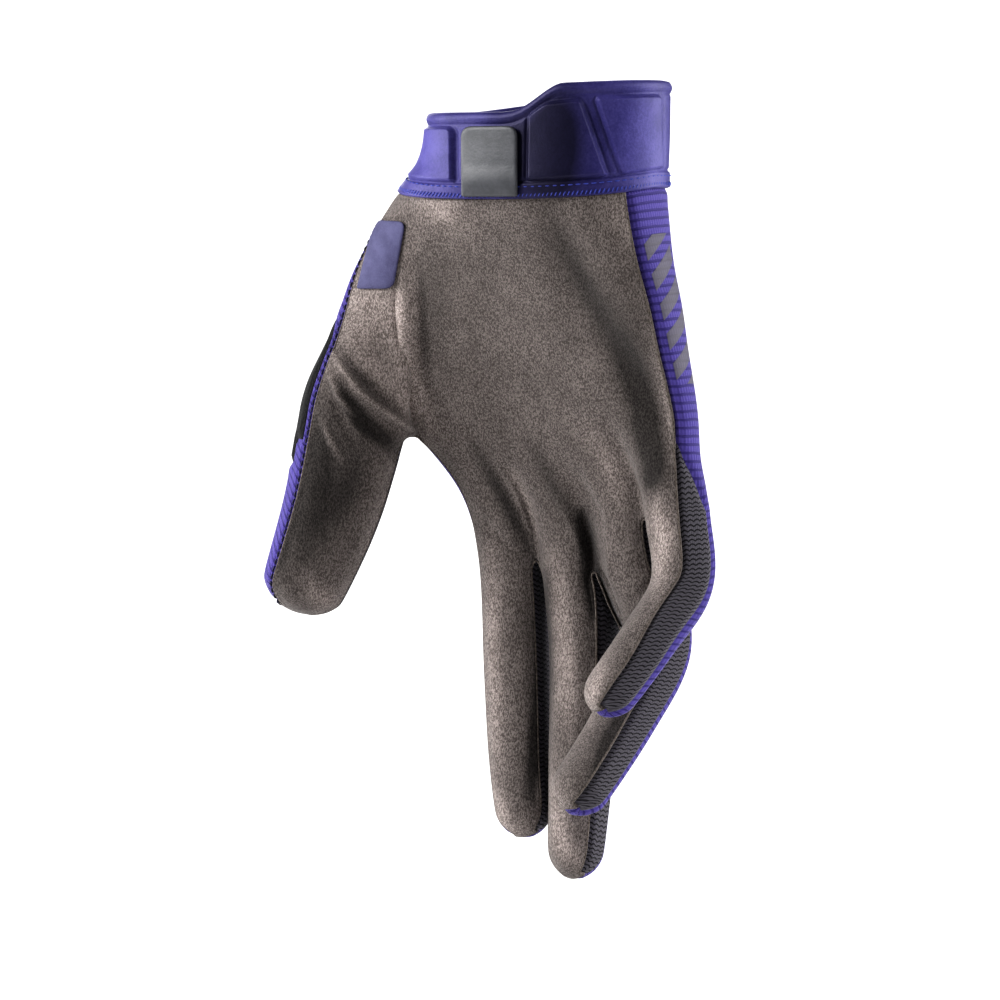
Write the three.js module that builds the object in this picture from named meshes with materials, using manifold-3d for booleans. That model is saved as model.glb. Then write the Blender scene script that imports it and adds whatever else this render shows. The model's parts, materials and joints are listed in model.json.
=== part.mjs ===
import * as THREE from "three";
import { mergeVertices } from "three/addons/utils/BufferGeometryUtils.js";
import Module from "manifold-3d";

const wasm = await Module();
wasm.setup();

// Driving sizes in millimetres
const gloveLength = 222;
const palmBreadth = 80;
const suedeWall = 1.3;
const knitWall = 1.2;
const meshWall = 1.1;
const cuffWall = 2.4;
const cuffProud = 0.6;
const seamGap = 0.4;
const patchGap = 0.4;
const patchThick = 0.9;
const padRise = 1.1;

// How finely the surface is divided
const fingerColumns = 4;
const thumbColumns = 5;
const sideColumns = 4;
const upperRows = 10;
const lowerRows = 5;
const fingerRowsDown = 11;
const thumbRowsDown = 7;
const cuffRowsDown = 3;

// Shape of the cross-sections: squareness, and where the side seams lie
const digitSquare = 2.4;
const palmSquare = 2.5;
const degree = Math.PI / 180;
const digitPalmSeam = 28 * degree;
const digitBackSeam = 35 * degree;
const palmPalmSeam = 24 * degree;
const palmBackSeam = 30 * degree;
const faceTurn = 30 * degree;

// Cross-sections from the cuff to the tips. Down is in hundredths of the glove length from the
// origin, roll is in degrees, and every other column is in hundredths of the palm breadth.
const palmRows = [
  { down: -2.25, left: -43.25, right: 44, rear: 0, tilt: 0, arch: 0, palmDeep: 28, backDeep: 28.12 },
  { down: 4.5, left: -43.25, right: 43.75, rear: 0, tilt: 0, arch: 0, palmDeep: 28, backDeep: 28.12 },
  { down: 8.11, left: -46.25, right: 43.25, rear: 0, tilt: 0, arch: 0, palmDeep: 28.38, backDeep: 28.75 },
  { down: 10.81, left: -53.12, right: 43, rear: 0, tilt: 0, arch: 0, palmDeep: 28.75, backDeep: 30 },
  { down: 15.32, left: -62.5, right: 44.75, rear: 1.88, tilt: 0.62, arch: -3.12, palmDeep: 27.5, backDeep: 29.12 },
  { down: 20.72, left: -71.25, right: 47.75, rear: 5, tilt: 1.25, arch: -7.5, palmDeep: 24.38, backDeep: 26.25 },
  { down: 26.13, left: -77.5, right: 51, rear: 8.75, tilt: 1.25, arch: -10, palmDeep: 21.88, backDeep: 23.75 },
  { down: 31.53, left: -75.62, right: 52.5, rear: 12.5, tilt: 0, arch: -10, palmDeep: 19.75, backDeep: 21.25 },
  { down: 37.84, left: -67.5, right: 53.75, rear: 16.25, tilt: -1.88, arch: -7.5, palmDeep: 16.88, backDeep: 18.75 },
  { down: 42.79, left: -61.25, right: 55.62, rear: 18.75, tilt: -4.38, arch: -6.25, palmDeep: 15, backDeep: 17.25 },
  { down: 46.85, left: -53.12, right: 56.62, rear: 20.25, tilt: -6.25, arch: -6.25, palmDeep: 13.75, backDeep: 16 },
  { down: 50.45, left: -47.25, right: 57.5, rear: 21.62, tilt: -6.88, arch: -6.88, palmDeep: 12.75, backDeep: 14.75 },
  { down: 54.95, left: -43.5, right: 58.13, rear: 22.75, tilt: -7.5, arch: -7.5, palmDeep: 11.75, backDeep: 13.5 },
  { down: 60.81, left: -42.5, right: 58.13, rear: 23.12, tilt: -7.5, arch: -7.5, palmDeep: 11.25, backDeep: 13.12 },
];
const indexRows = [
  { down: 45.05, right: -31.87, rear: 20.62, wide: 12.5, deep: 11.88, roll: -8 },
  { down: 58.11, right: -27.38, rear: 22.5, wide: 11, deep: 11, roll: -8 },
  { down: 72.07, right: -25.13, rear: 22.25, wide: 11.12, deep: 10.87, roll: -8 },
  { down: 82.88, right: -22.25, rear: 19.5, wide: 10.62, deep: 10.25, roll: -8 },
  { down: 89.19, right: -18.62, rear: 16, wide: 10, deep: 9.5, roll: -8 },
];
const middleRows = [
  { down: 45.05, right: -5, rear: 22.5, wide: 12.5, deep: 11.88, roll: 0 },
  { down: 58.56, right: -3.25, rear: 25, wide: 11, deep: 11, roll: 4 },
  { down: 69.37, right: 0.38, rear: 24.62, wide: 11.25, deep: 11, roll: 6 },
  { down: 84.5, right: 2.12, rear: 20, wide: 10.87, deep: 10.5, roll: 6 },
  { down: 93.92, right: 3.25, rear: 15, wide: 9.62, deep: 9.25, roll: 6 },
];
const ringRows = [
  { down: 45.05, right: 18.75, rear: 21.25, wide: 12.25, deep: 11.62, roll: 6 },
  { down: 57.21, right: 23.25, rear: 21.25, wide: 11.25, deep: 10.75, roll: 12 },
  { down: 68.47, right: 30.5, rear: 25, wide: 11.12, deep: 10.75, roll: 16 },
  { down: 78.83, right: 26, rear: 5.75, wide: 10.62, deep: 10.25, roll: 17 },
  { down: 86.49, right: 20.62, rear: -11.88, wide: 10.12, deep: 9.5, roll: 15 },
];
const littleRows = [
  { down: 42.79, right: 39.38, rear: 13.75, wide: 11.5, deep: 11, roll: 18 },
  { down: 52.7, right: 45.5, rear: 11.88, wide: 10.87, deep: 10.75, roll: 26 },
  { down: 61.26, right: 47.25, rear: 11.25, wide: 10.62, deep: 10.5, roll: 32 },
  { down: 68.47, right: 42.25, rear: -5, wide: 10, deep: 9.75, roll: 33 },
  { down: 74.32, right: 35.62, rear: -16.88, wide: 9.38, deep: 9, roll: 30 },
];
const thumbRows = [
  { down: 20.27, right: -50, rear: -2.5, wide: 22.5, deep: 18.75, roll: -25 },
  { down: 29.28, right: -63.12, rear: -8.12, wide: 21.88, deep: 18.12, roll: -38 },
  { down: 39.64, right: -71.25, rear: -11.88, wide: 19.25, deep: 15.62, roll: -45 },
  { down: 50.45, right: -77.5, rear: -15.62, wide: 17.38, deep: 14.37, roll: -45 },
  { down: 56.76, right: -82.88, rear: -18.12, wide: 16, deep: 13.12, roll: -45 },
  { down: 61.04, right: -87.38, rear: -19.38, wide: 14.75, deep: 11.75, roll: -45 },
];

// Levels where the digits part, in hundredths of the glove length
const wristSideShare = 11;
const wristPalmDropShare = 1.45;
const cuffTopShare = 2;
const cuffStepShare = 3.4;
const thumbCrotchShare = 42.8;
const thumbBaseShare = 39.6;
const partingShares = [57.7, 58.1, 58.6, 52.7, 51.4];
const thumbEndShare = 60.8;
const endShares = [89.2, 93.9, 86.5, 74.3];
const tipShares = [10.8, 12.2, 10.6, 10];
const thumbTipShare = 10.8;

// Folds of the palm: a bent line from start over middle to end, as seen square to the palm's
// viewing side. Across is in hundredths of the palm breadth, down in hundredths of the length.
const folds = [
  { a0: -75, d0: 32.8, a1: -62.5, d1: 38, a2: -47.5, d2: 41.8, wide: 2.6, tall: 2.2 },
  { a0: -76, d0: 34.5, a1: -73, d1: 37.4, a2: -67, d2: 40.2, wide: 2.2, tall: 1.4 },
  { a0: -72, d0: 31.5, a1: -62, d1: 35, a2: -54, d2: 38.6, wide: 2.6, tall: -1.8 },
  { a0: -48, d0: 24, a1: -47.6, d1: 30, a2: -45, d2: 38, wide: 3.4, tall: 1.3 },
  { a0: -17.9, d0: 44.8, a1: -11.6, d1: 49.2, a2: -5.2, d2: 55.2, wide: 2.6, tall: 1 },
  { a0: -24.5, d0: 53, a1: -15, d1: 56.1, a2: -9.5, d2: 57.4, wide: 2.4, tall: -1 },
  { a0: -45, d0: 24, a1: -44, d1: 31, a2: -41.5, d2: 38, wide: 3.2, tall: -1.2 },
];

const ofLength = (share) => (share / 100) * gloveLength;
const ofBreadth = (share) => (share / 100) * palmBreadth;
const mix = (a, b, t) => a + (b - a) * t;
const clamp = (t) => Math.min(1, Math.max(0, t));
const smooth = (t) => clamp(t) ** 2 * (3 - 2 * clamp(t));
const bend = (value, power) => Math.sign(value) * Math.abs(value) ** power;

// Turns the shares of one table into millimetres and radians.
function measured(rows) {
  return rows.map((row) => {
    const out = {};
    for (const [name, value] of Object.entries(row)) {
      if (name === "down") out[name] = ofLength(value);
      else if (name === "roll") out[name] = value * degree;
      else out[name] = ofBreadth(value);
    }
    return out;
  });
}

const palmTable = measured(palmRows);
const thumbTable = measured(thumbRows);
const digitTables = [indexRows, middleRows, ringRows, littleRows].map(measured);
const partings = partingShares.map(ofLength);
const digitEnds = endShares.map(ofLength);
const digitTips = tipShares.map(ofBreadth);
const thumbBase = ofLength(thumbBaseShare);
const thumbCrotch = ofLength(thumbCrotchShare);
const thumbEnd = ofLength(thumbEndShare);
const thumbTip = ofBreadth(thumbTipShare);

function slopeAt(rows, i, name) {
  const a = rows[Math.max(0, i - 1)];
  const b = rows[Math.min(rows.length - 1, i + 1)];
  return (b[name] - a[name]) / (b.down - a.down);
}

// Reads a table at a level, with smooth slopes through its rows and straight ends.
function readRow(rows, down) {
  let i = 0;
  while (i < rows.length - 2 && down > rows[i + 1].down) i += 1;
  const a = rows[i];
  const b = rows[i + 1];
  const gap = b.down - a.down;
  const t = (down - a.down) / gap;
  const row = {};
  for (const name of Object.keys(a)) {
    const sa = slopeAt(rows, i, name);
    const sb = slopeAt(rows, i + 1, name);
    if (t < 0) row[name] = a[name] + sa * (down - a.down);
    else if (t > 1) row[name] = b[name] + sb * (down - b.down);
    else {
      row[name] =
        a[name] * (1 + 2 * t) * (1 - t) ** 2 +
        b[name] * t * t * (3 - 2 * t) +
        gap * (sa * t * (1 - t) ** 2 - sb * t * t * (1 - t));
    }
  }
  return row;
}

const centreOf = (row) => new THREE.Vector3(row.right, row.rear, -row.down);

// A point on a finger or the thumb: round the section by angle from its little-finger side.
function tubePoint(rows, down, angle, reach = 1, beyond = 0) {
  const row = readRow(rows, down);
  const step = 0.5;
  const along = centreOf(readRow(rows, down + step)).sub(centreOf(readRow(rows, down - step)));
  along.normalize();
  const front = new THREE.Vector3(-Math.sin(row.roll), -Math.cos(row.roll), 0);
  const side = front.cross(along).normalize();
  const pad = new THREE.Vector3().crossVectors(along, side);
  const across = bend(Math.cos(angle), 2 / digitSquare) * row.wide * reach;
  const lift = bend(Math.sin(angle), 2 / digitSquare) * row.deep * reach;
  return centreOf(row)
    .addScaledVector(side, across)
    .addScaledVector(pad, lift)
    .addScaledVector(along, beyond);
}

// A point on the hand without its digits.
function palmPoint(down, angle) {
  const row = readRow(palmTable, down);
  const across = bend(Math.cos(angle), 2 / palmSquare);
  const lift = bend(Math.sin(angle), 2 / palmSquare);
  const half = (row.right - row.left) / 2;
  const deep = lift > 0 ? row.palmDeep : row.backDeep;
  return new THREE.Vector3(
    (row.left + row.right) / 2 + half * across,
    row.rear + row.tilt * across + row.arch * across * across - deep * lift,
    -down,
  );
}

const handColumns = 4 * fingerColumns;
const allColumns = thumbColumns + handColumns;

// Angle round the palm for a share of its breadth, on the palm side or the back side.
function palmAngle(across, facing) {
  return facing * Math.acos(bend(across, palmSquare / 2));
}

const palmEdge = bend(Math.cos(palmPalmSeam), 2 / palmSquare);
const backEdge = bend(Math.cos(palmBackSeam), 2 / palmSquare);
const edgeOf = (facing) => (facing > 0 ? palmEdge : backEdge);

const ulnarAngle = (k) => mix(palmPalmSeam, -palmBackSeam, k / sideColumns);
const radialAngle = (k) => Math.PI - mix(palmPalmSeam, -palmBackSeam, k / sideColumns);
const digitUlnar = (k) => mix(digitPalmSeam, -digitBackSeam, k / sideColumns);
const digitRadial = (k) => Math.PI - mix(digitPalmSeam, -digitBackSeam, k / sideColumns);

function digitAngle(share, facing) {
  const seam = facing > 0 ? digitPalmSeam : digitBackSeam;
  return facing * mix(Math.PI - seam, seam, share);
}

const wristDown = (angle) =>
  ofLength(wristSideShare + wristPalmDropShare * Math.max(0, Math.sin(angle)));

function cuffTop(angle) {
  const across = Math.cos(angle);
  const step = smooth((across + 0.05) / 0.45);
  const palmSide = cuffTopShare - cuffStepShare * step - 0.6 * Math.max(0, across);
  const backSide = -cuffTopShare * across;
  return ofLength(mix(backSide, palmSide, smooth((Math.sin(angle) + 0.2) / 0.4)));
}

const radialWrist = wristDown(Math.PI);
const thumbShare = (thumbCrotch - radialWrist) / (partings[0] - radialWrist);
const thumbRoot = 0.2;
const webReach = 7;
const fingerBlendStart = 0.62;

const bodyShares = [];
for (let r = 0; r <= upperRows; r += 1) bodyShares.push((thumbShare * r) / upperRows);
for (let r = 1; r <= lowerRows; r += 1) bodyShares.push(mix(thumbShare, 1, r / lowerRows));

const fingerBlend = (s) => smooth((s - fingerBlendStart) / (1 - fingerBlendStart));
const thumbBlend = (s) => smooth(s / thumbShare);

// Where the palm's thumb edge starts on the section at a row.
function leftEdge(s, facing) {
  return edgeOf(facing) * (-1 + 2 * thumbRoot * (1 - smooth(s / thumbShare)));
}

function partingLevel(column) {
  const place = column / fingerColumns;
  const digit = Math.min(3, Math.floor(place));
  return mix(partings[digit], partings[digit + 1], place - digit);
}

// The hand with its four fingers, before the thumb pulls at it.
function plainHand(column, facing, s) {
  const across = mix(leftEdge(s, facing), edgeOf(facing), column / handColumns);
  const angle = palmAngle(across, facing);
  const down = mix(wristDown(angle), partingLevel(column), s);
  const point = palmPoint(down, angle);
  const digit = Math.min(3, Math.floor(column / fingerColumns));
  const share = column / fingerColumns - digit;
  const onTube = tubePoint(digitTables[digit], down, digitAngle(share, facing));
  if (share === 0 && column > 0) {
    const other = tubePoint(digitTables[digit - 1], down, digitAngle(1, facing));
    onTube.lerp(other, 0.5);
  }
  return point.lerp(onTube, fingerBlend(s));
}

// The edge between the thumb and the hand, down to where they part.
function webEdge(facing, s) {
  const station = mix(radialWrist, thumbBase, s / thumbShare);
  const onThumb = tubePoint(thumbTable, station, digitAngle(1, facing));
  return plainHand(0, facing, s).lerp(onThumb, 0.5 * thumbBlend(s));
}

function webPull(facing, s) {
  const at = Math.min(s, thumbShare);
  const pull = webEdge(facing, at).sub(plainHand(0, facing, at));
  return pull.multiplyScalar((1 - clamp((s - thumbShare) / (1 - thumbShare))) ** 3);
}

function handPoint(column, facing, s) {
  const point = plainHand(column, facing, s);
  const near = clamp(1 - column / webReach) ** 2;
  return near > 0 ? point.addScaledVector(webPull(facing, s), near) : point;
}

function thumbPoint(column, facing, s) {
  const share = column / thumbColumns;
  const across = mix(-edgeOf(facing), leftEdge(s, facing), share);
  const angle = palmAngle(across, facing);
  const down = mix(wristDown(angle), thumbCrotch, s / thumbShare);
  const station = mix(radialWrist, thumbBase, s / thumbShare);
  const onTube = tubePoint(thumbTable, station, digitAngle(share, facing));
  return palmPoint(down, angle).lerp(onTube, thumbBlend(s) * (1 - 0.5 * share ** 3));
}

function outerEdge(k, s) {
  const down = mix(radialWrist, thumbCrotch, s / thumbShare);
  const station = mix(radialWrist, thumbBase, s / thumbShare);
  const onTube = tubePoint(thumbTable, station, digitRadial(k));
  return palmPoint(down, radialAngle(k)).lerp(onTube, thumbBlend(s));
}

function littleEdge(k, s) {
  const angle = ulnarAngle(k);
  const down = mix(wristDown(angle), partings[4], s);
  const onTube = tubePoint(digitTables[3], down, digitUlnar(k));
  return palmPoint(down, angle).lerp(onTube, fingerBlend(s));
}

function plainIndexEdge(k, s) {
  const down = mix(radialWrist, partings[0], s);
  const onTube = tubePoint(digitTables[0], down, digitRadial(k));
  return palmPoint(down, radialAngle(k)).lerp(onTube, fingerBlend(s));
}

function thumbWeb(k) {
  return plainIndexEdge(k, thumbShare).lerp(tubePoint(thumbTable, thumbBase, digitUlnar(k)), 0.5);
}

function indexEdge(k, s) {
  const pull = thumbWeb(k).sub(plainIndexEdge(k, thumbShare));
  const fade = (1 - clamp((s - thumbShare) / (1 - thumbShare))) ** 3;
  return plainIndexEdge(k, s).addScaledVector(pull, fade);
}

function fingerWeb(digit, k) {
  const left = tubePoint(digitTables[digit], partings[digit + 1], digitUlnar(k));
  const right = tubePoint(digitTables[digit + 1], partings[digit + 1], digitRadial(k));
  return left.lerp(right, 0.5);
}

// The outer surface as corner points and faces, each face with the panel it belongs to
const corners = [];
const cornerIds = new Map();
const faces = [];

function corner(key, make) {
  if (!cornerIds.has(key)) {
    cornerIds.set(key, corners.length);
    corners.push(make());
  }
  return cornerIds.get(key);
}

function addFace(ids, panel) {
  faces.push({ ids, panel });
}

// Joins two rings, with a panel named for each place round them.
function joinRings(upper, lower, panelOf) {
  upper.forEach((id, q) => {
    const next = (q + 1) % upper.length;
    const panel = panelOf(q);
    if (Array.isArray(panel)) {
      addFace([id, upper[next], lower[next]], panel[1]);
      addFace([id, lower[next], lower[q]], panel[0]);
    } else if (panel) addFace([id, upper[next], lower[next], lower[q]], panel);
  });
}

const count = (n) => Array.from({ length: n }, (_, i) => i);
const sideMiddles = count(sideColumns - 1).map((k) => k + 1);

// One ring in the order palm side, little-finger side, back, thumb side.
function ring(columns, palmId, ulnarId, backId, radialId) {
  const across = count(columns + 1);
  return [
    ...across.map(palmId),
    ...sideMiddles.map(ulnarId),
    ...across.map((i) => backId(columns - i)),
    ...sideMiddles.map((k) => radialId(sideColumns - k)),
  ];
}

// Names the part of a ring that a place belongs to, and the column in it.
function partOfRing(columns, q) {
  const starts = [0, columns, columns + sideColumns, 2 * columns + sideColumns];
  const part = starts.filter((start) => q >= start).length - 1;
  return { part: ["palm", "ulnar", "back", "radial"][part], column: q - starts[part] };
}

function bodyRing(row) {
  const s = bodyShares[row];
  const inThumb = row <= upperRows;
  const columns = inThumb ? allColumns : handColumns;
  const skip = allColumns - columns;
  const bodyId = (facing) => (i) => {
    const column = i + skip - thumbColumns;
    return corner(`${facing > 0 ? "palm" : "back"} ${row} ${column}`, () =>
      column < 0
        ? thumbPoint(column + thumbColumns, facing, s)
        : handPoint(column, facing, s),
    );
  };
  return ring(
    columns,
    bodyId(1),
    (k) => corner(`ulnar ${row} ${k}`, () => littleEdge(k, s)),
    bodyId(-1),
    (k) => corner(`radial ${row} ${k}`, () => (inThumb ? outerEdge(k, s) : indexEdge(k, s))),
  );
}

const wedgeRow = upperRows + 2;
const wipeFrom = 4;
const wipeReach = 3;

function bodyPanel(row, columns, q) {
  const { part, column } = partOfRing(columns, q);
  if (part === "palm") return "palm_panel";
  if (part === "ulnar" && row >= wedgeRow) {
    const full = row - wedgeRow;
    if (column < full) return "little_gusset";
    if (column === full) return ["little_gusset", "back_panel"];
  }
  const wiped = row - wipeFrom;
  if (columns !== allColumns || wiped < 0) return "back_panel";
  if (part === "back" && columns - 1 - column < thumbColumns) return "thumb_wipe";
  if (part === "radial" && column < Math.min(wiped, wipeReach)) return "thumb_wipe";
  if (part === "radial" && column === wiped && wiped < wipeReach) return ["thumb_wipe", "back_panel"];
  return "back_panel";
}

const palmId = (row, column) => cornerIds.get(`palm ${row} ${column}`);
const backId = (row, column) => cornerIds.get(`back ${row} ${column}`);

const cuffTopRow = -cuffRowsDown;
function cuffRing(row) {
  if (row === 0) return bodyRing(0);
  const wrist = bodyRing(0);
  const share = (row - cuffTopRow) / cuffRowsDown;
  return wrist.map((id, q) =>
    corner(`cuff ${row} ${q}`, () => {
      const at = cuffAngle(q);
      return palmPoint(mix(cuffTop(at), wristDown(at), share), at);
    }),
  );
}

function cuffAngle(q) {
  const { part, column } = partOfRing(allColumns, q);
  if (part === "ulnar") return ulnarAngle(column);
  if (part === "radial") return radialAngle(sideColumns - column);
  const facing = part === "palm" ? 1 : -1;
  const place = (part === "palm" ? column : allColumns - column) - thumbColumns;
  const left = leftEdge(0, facing);
  const across =
    place < 0
      ? mix(left, -edgeOf(facing), -place / thumbColumns)
      : mix(left, edgeOf(facing), place / handColumns);
  return palmAngle(across, facing);
}

for (let row = cuffTopRow; row < 0; row += 1)
  joinRings(cuffRing(row), cuffRing(row + 1), () => "cuff");

for (let row = 0; row < upperRows; row += 1)
  joinRings(bodyRing(row), bodyRing(row + 1), (q) => bodyPanel(row, allColumns, q));

// The hand's first ring below the thumb
const thumbWebIds = (k) => corner(`web ${k}`, () => thumbWeb(k));
const partedHand = ring(
  handColumns,
  (i) => palmId(upperRows, i),
  (k) => cornerIds.get(`ulnar ${upperRows} ${k}`),
  (i) => backId(upperRows, i),
  thumbWebIds,
);
for (let row = upperRows; row < upperRows + lowerRows; row += 1) {
  const upper = row === upperRows ? partedHand : bodyRing(row);
  joinRings(upper, bodyRing(row + 1), (q) => bodyPanel(row, handColumns, q));
}

const domeAngles = [24 * degree, 45 * degree, 63 * degree];

// Builds a digit from its first ring to its closed tip.
function addDigit(name, rows, columns, first, starts, end, tip, rowsDown, panelOf) {
  let upper = first;
  const angles = first.map((_, q) => {
    const { part, column } = partOfRing(columns, q);
    if (part === "palm") return digitAngle(column / columns, 1);
    if (part === "back") return digitAngle(1 - column / columns, -1);
    return part === "ulnar" ? digitUlnar(column) : digitRadial(sideColumns - column);
  });
  for (let r = 1; r <= rowsDown; r += 1) {
    const share = (r / rowsDown) ** 1.25;
    const lower = angles.map((angle, q) =>
      corner(`${name} ${r} ${q}`, () => tubePoint(rows, mix(starts[q], end, share), angle)),
    );
    joinRings(upper, lower, (q) => panelOf(r - 1, q));
    upper = lower;
  }
  domeAngles.forEach((rise, d) => {
    const lower = angles.map((angle, q) =>
      corner(`${name} dome ${d} ${q}`, () =>
        tubePoint(rows, end, angle, Math.cos(rise), tip * Math.sin(rise)),
      ),
    );
    joinRings(upper, lower, (q) => panelOf(rowsDown, q));
    upper = lower;
  });
  closeTip(name, rows, columns, upper, angles, end, tip);
}

// Closes a tip with a grid of faces, its palm half and its back half.
function closeTip(name, rows, columns, last, angles, end, tip) {
  const reach = Math.cos(domeAngles[domeAngles.length - 1]);
  const spot = (i, j) => {
    if (j === 0) return i;
    if (i === columns) return columns + j;
    if (j === sideColumns) return 2 * columns + sideColumns - i;
    return 2 * columns + 2 * sideColumns - j;
  };
  const rim = (i, j) => {
    const angle = angles[spot(i, j)];
    return new THREE.Vector2(Math.cos(angle), Math.sin(angle)).multiplyScalar(reach);
  };
  const gridId = (i, j) => {
    if (i === 0 || j === 0 || i === columns || j === sideColumns) return last[spot(i, j)];
    return corner(`${name} cap ${i} ${j}`, () => {
      const u = i / columns;
      const v = j / sideColumns;
      const flat = new THREE.Vector2()
        .addScaledVector(rim(i, 0), 1 - v)
        .addScaledVector(rim(i, sideColumns), v)
        .addScaledVector(rim(0, j), 1 - u)
        .addScaledVector(rim(columns, j), u)
        .addScaledVector(rim(0, 0), -(1 - u) * (1 - v))
        .addScaledVector(rim(columns, 0), -u * (1 - v))
        .addScaledVector(rim(0, sideColumns), -(1 - u) * v)
        .addScaledVector(rim(columns, sideColumns), -u * v);
      const size = flat.length();
      return tubePoint(rows, end, flat.angle(), size, tip * Math.sqrt(1 - size * size));
    });
  };
  for (let j = 0; j < sideColumns; j += 1)
    for (let i = 0; i < columns; i += 1)
      addFace(
        [gridId(i, j), gridId(i + 1, j), gridId(i + 1, j + 1), gridId(i, j + 1)],
        j < sideColumns / 2 ? "palm_panel" : "back_panel",
      );
}

const gussets = [
  "index_middle_gusset",
  "middle_ring_gusset",
  "ring_little_gusset",
  "little_gusset",
];
const digitNames = ["index", "middle", "ring", "little"];
const lastRow = upperRows + lowerRows;

digitNames.forEach((name, digit) => {
  const from = digit * fingerColumns;
  const webId = (d) => (k) => corner(`crotch ${d} ${k}`, () => fingerWeb(d, k));
  const endUlnar = (k) => cornerIds.get(`ulnar ${lastRow} ${k}`);
  const endRadial = (k) => cornerIds.get(`radial ${lastRow} ${k}`);
  const first = ring(
    fingerColumns,
    (i) => palmId(lastRow, from + i),
    digit === 3 ? endUlnar : webId(digit),
    (i) => backId(lastRow, from + i),
    digit === 0 ? endRadial : webId(digit - 1),
  );
  const starts = first.map((_, q) => {
    const { part, column } = partOfRing(fingerColumns, q);
    if (part === "palm") return partingLevel(from + column);
    if (part === "back") return partingLevel(from + fingerColumns - column);
    return partings[part === "ulnar" ? digit + 1 : digit];
  });
  addDigit(
    name,
    digitTables[digit],
    fingerColumns,
    first,
    starts,
    digitEnds[digit],
    digitTips[digit],
    fingerRowsDown,
    (r, q) => {
      const { part, column } = partOfRing(fingerColumns, q);
      if (part === "palm") return "palm_panel";
      if (part === "back") return "back_panel";
      if (part === "radial") return digit === 0 ? "back_panel" : gussets[digit - 1];
      const opening = digit === 3 && r === 0 && column === sideColumns - 1;
      return opening ? ["little_gusset", "back_panel"] : gussets[digit];
    },
  );
});

const thumbFirst = ring(
  thumbColumns,
  (i) => palmId(upperRows, i - thumbColumns),
  thumbWebIds,
  (i) => backId(upperRows, i - thumbColumns),
  (k) => cornerIds.get(`radial ${upperRows} ${k}`),
);
addDigit(
  "thumb",
  thumbTable,
  thumbColumns,
  thumbFirst,
  thumbFirst.map(() => thumbBase),
  thumbEnd,
  thumbTip,
  thumbRowsDown,
  (r, q) => {
    const { part, column } = partOfRing(thumbColumns, q);
    if (part === "palm") return "palm_panel";
    if (part === "ulnar") return "thumb_gusset";
    const wiped = part === "back" || column < Math.min(wipeReach, 4 - r);
    return wiped && r < 3 ? "thumb_wipe" : "back_panel";
  },
);

const triangles = faces.flatMap(({ ids, panel }) =>
  ids.length === 3
    ? [{ ids, panel }]
    : [
        { ids: [ids[0], ids[1], ids[2]], panel },
        { ids: [ids[0], ids[2], ids[3]], panel },
      ],
);

// Turns every face outward if the surface came out reversed.
const volume = triangles.reduce((sum, { ids }) => {
  const [a, b, c] = ids.map((id) => corners[id]);
  return sum + new THREE.Vector3().crossVectors(a, b).dot(c);
}, 0);
if (volume < 0) triangles.forEach(({ ids }) => ids.reverse());

function cross(a, b, c) {
  const ab = new THREE.Vector3().subVectors(b, a);
  const ac = new THREE.Vector3().subVectors(c, a);
  return ab.cross(ac);
}

function cornerNormals() {
  const normals = corners.map(() => new THREE.Vector3());
  triangles.forEach(({ ids }) => {
    const flat = cross(...ids.map((id) => corners[id]));
    ids.forEach((id) => normals[id].add(flat));
  });
  normals.forEach((normal) => normal.normalize());
  return normals;
}

// Raises and sinks the palm along the folds.
const viewSide = new THREE.Vector3(Math.cos(faceTurn), Math.sin(faceTurn), 0);
const viewFront = new THREE.Vector3(Math.sin(faceTurn), -Math.cos(faceTurn), 0);

function lineDistance(p, a, b) {
  const ab = new THREE.Vector2().subVectors(b, a);
  const t = clamp(new THREE.Vector2().subVectors(p, a).dot(ab) / ab.lengthSq());
  return { off: p.distanceTo(a.clone().addScaledVector(ab, t)), t };
}

function foldRise(point) {
  const p = new THREE.Vector2(point.dot(viewSide), -point.z);
  let rise = 0;
  folds.forEach((fold) => {
    const line = [0, 1, 2].map(
      (i) => new THREE.Vector2(ofBreadth(fold[`a${i}`]), ofLength(fold[`d${i}`])),
    );
    const first = lineDistance(p, line[0], line[1]);
    const second = lineDistance(p, line[1], line[2]);
    const near = first.off < second.off ? first : second;
    const along = (near === first ? near.t : 1 + near.t) / 2;
    const ends = 0.35 + 0.65 * Math.sin(Math.PI * along);
    rise += ofBreadth(fold.tall) * ends * Math.exp(-((near.off / ofBreadth(fold.wide)) ** 2));
  });
  return rise;
}

cornerNormals().forEach((normal, id) => {
  const facing = smooth(normal.dot(viewFront) / 0.5);
  if (facing > 0) corners[id].addScaledVector(normal, facing * foldRise(corners[id]));
});

const normals = cornerNormals();

// How far each edge corner of a set of faces steps back from its edge.
function stepBack(set, distance) {
  const edges = new Map();
  set.forEach(({ ids }) =>
    ids.forEach((id, i) => {
      const next = ids[(i + 1) % 3];
      edges.set(`${id} ${next}`, { a: id, b: next, c: ids[(i + 2) % 3] });
    }),
  );
  const inward = new Map();
  edges.forEach(({ a, b, c }) => {
    if (edges.has(`${b} ${a}`)) return;
    const run = new THREE.Vector3().subVectors(corners[b], corners[a]).normalize();
    const into = new THREE.Vector3().subVectors(corners[c], corners[a]);
    into.addScaledVector(run, -into.dot(run)).normalize();
    [a, b].forEach((id) => inward.set(id, [...(inward.get(id) ?? []), into]));
  });
  const shifts = new Map();
  inward.forEach((list, id) => {
    const sum = list.reduce((all, into) => all.add(into), new THREE.Vector3());
    const flat = normals[id];
    sum.addScaledVector(flat, -sum.dot(flat));
    const reach = Math.max(0.5, 1 + list[0].dot(list[list.length - 1]));
    shifts.set(id, sum.multiplyScalar(distance / reach));
  });
  return { shifts, edges };
}

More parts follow.
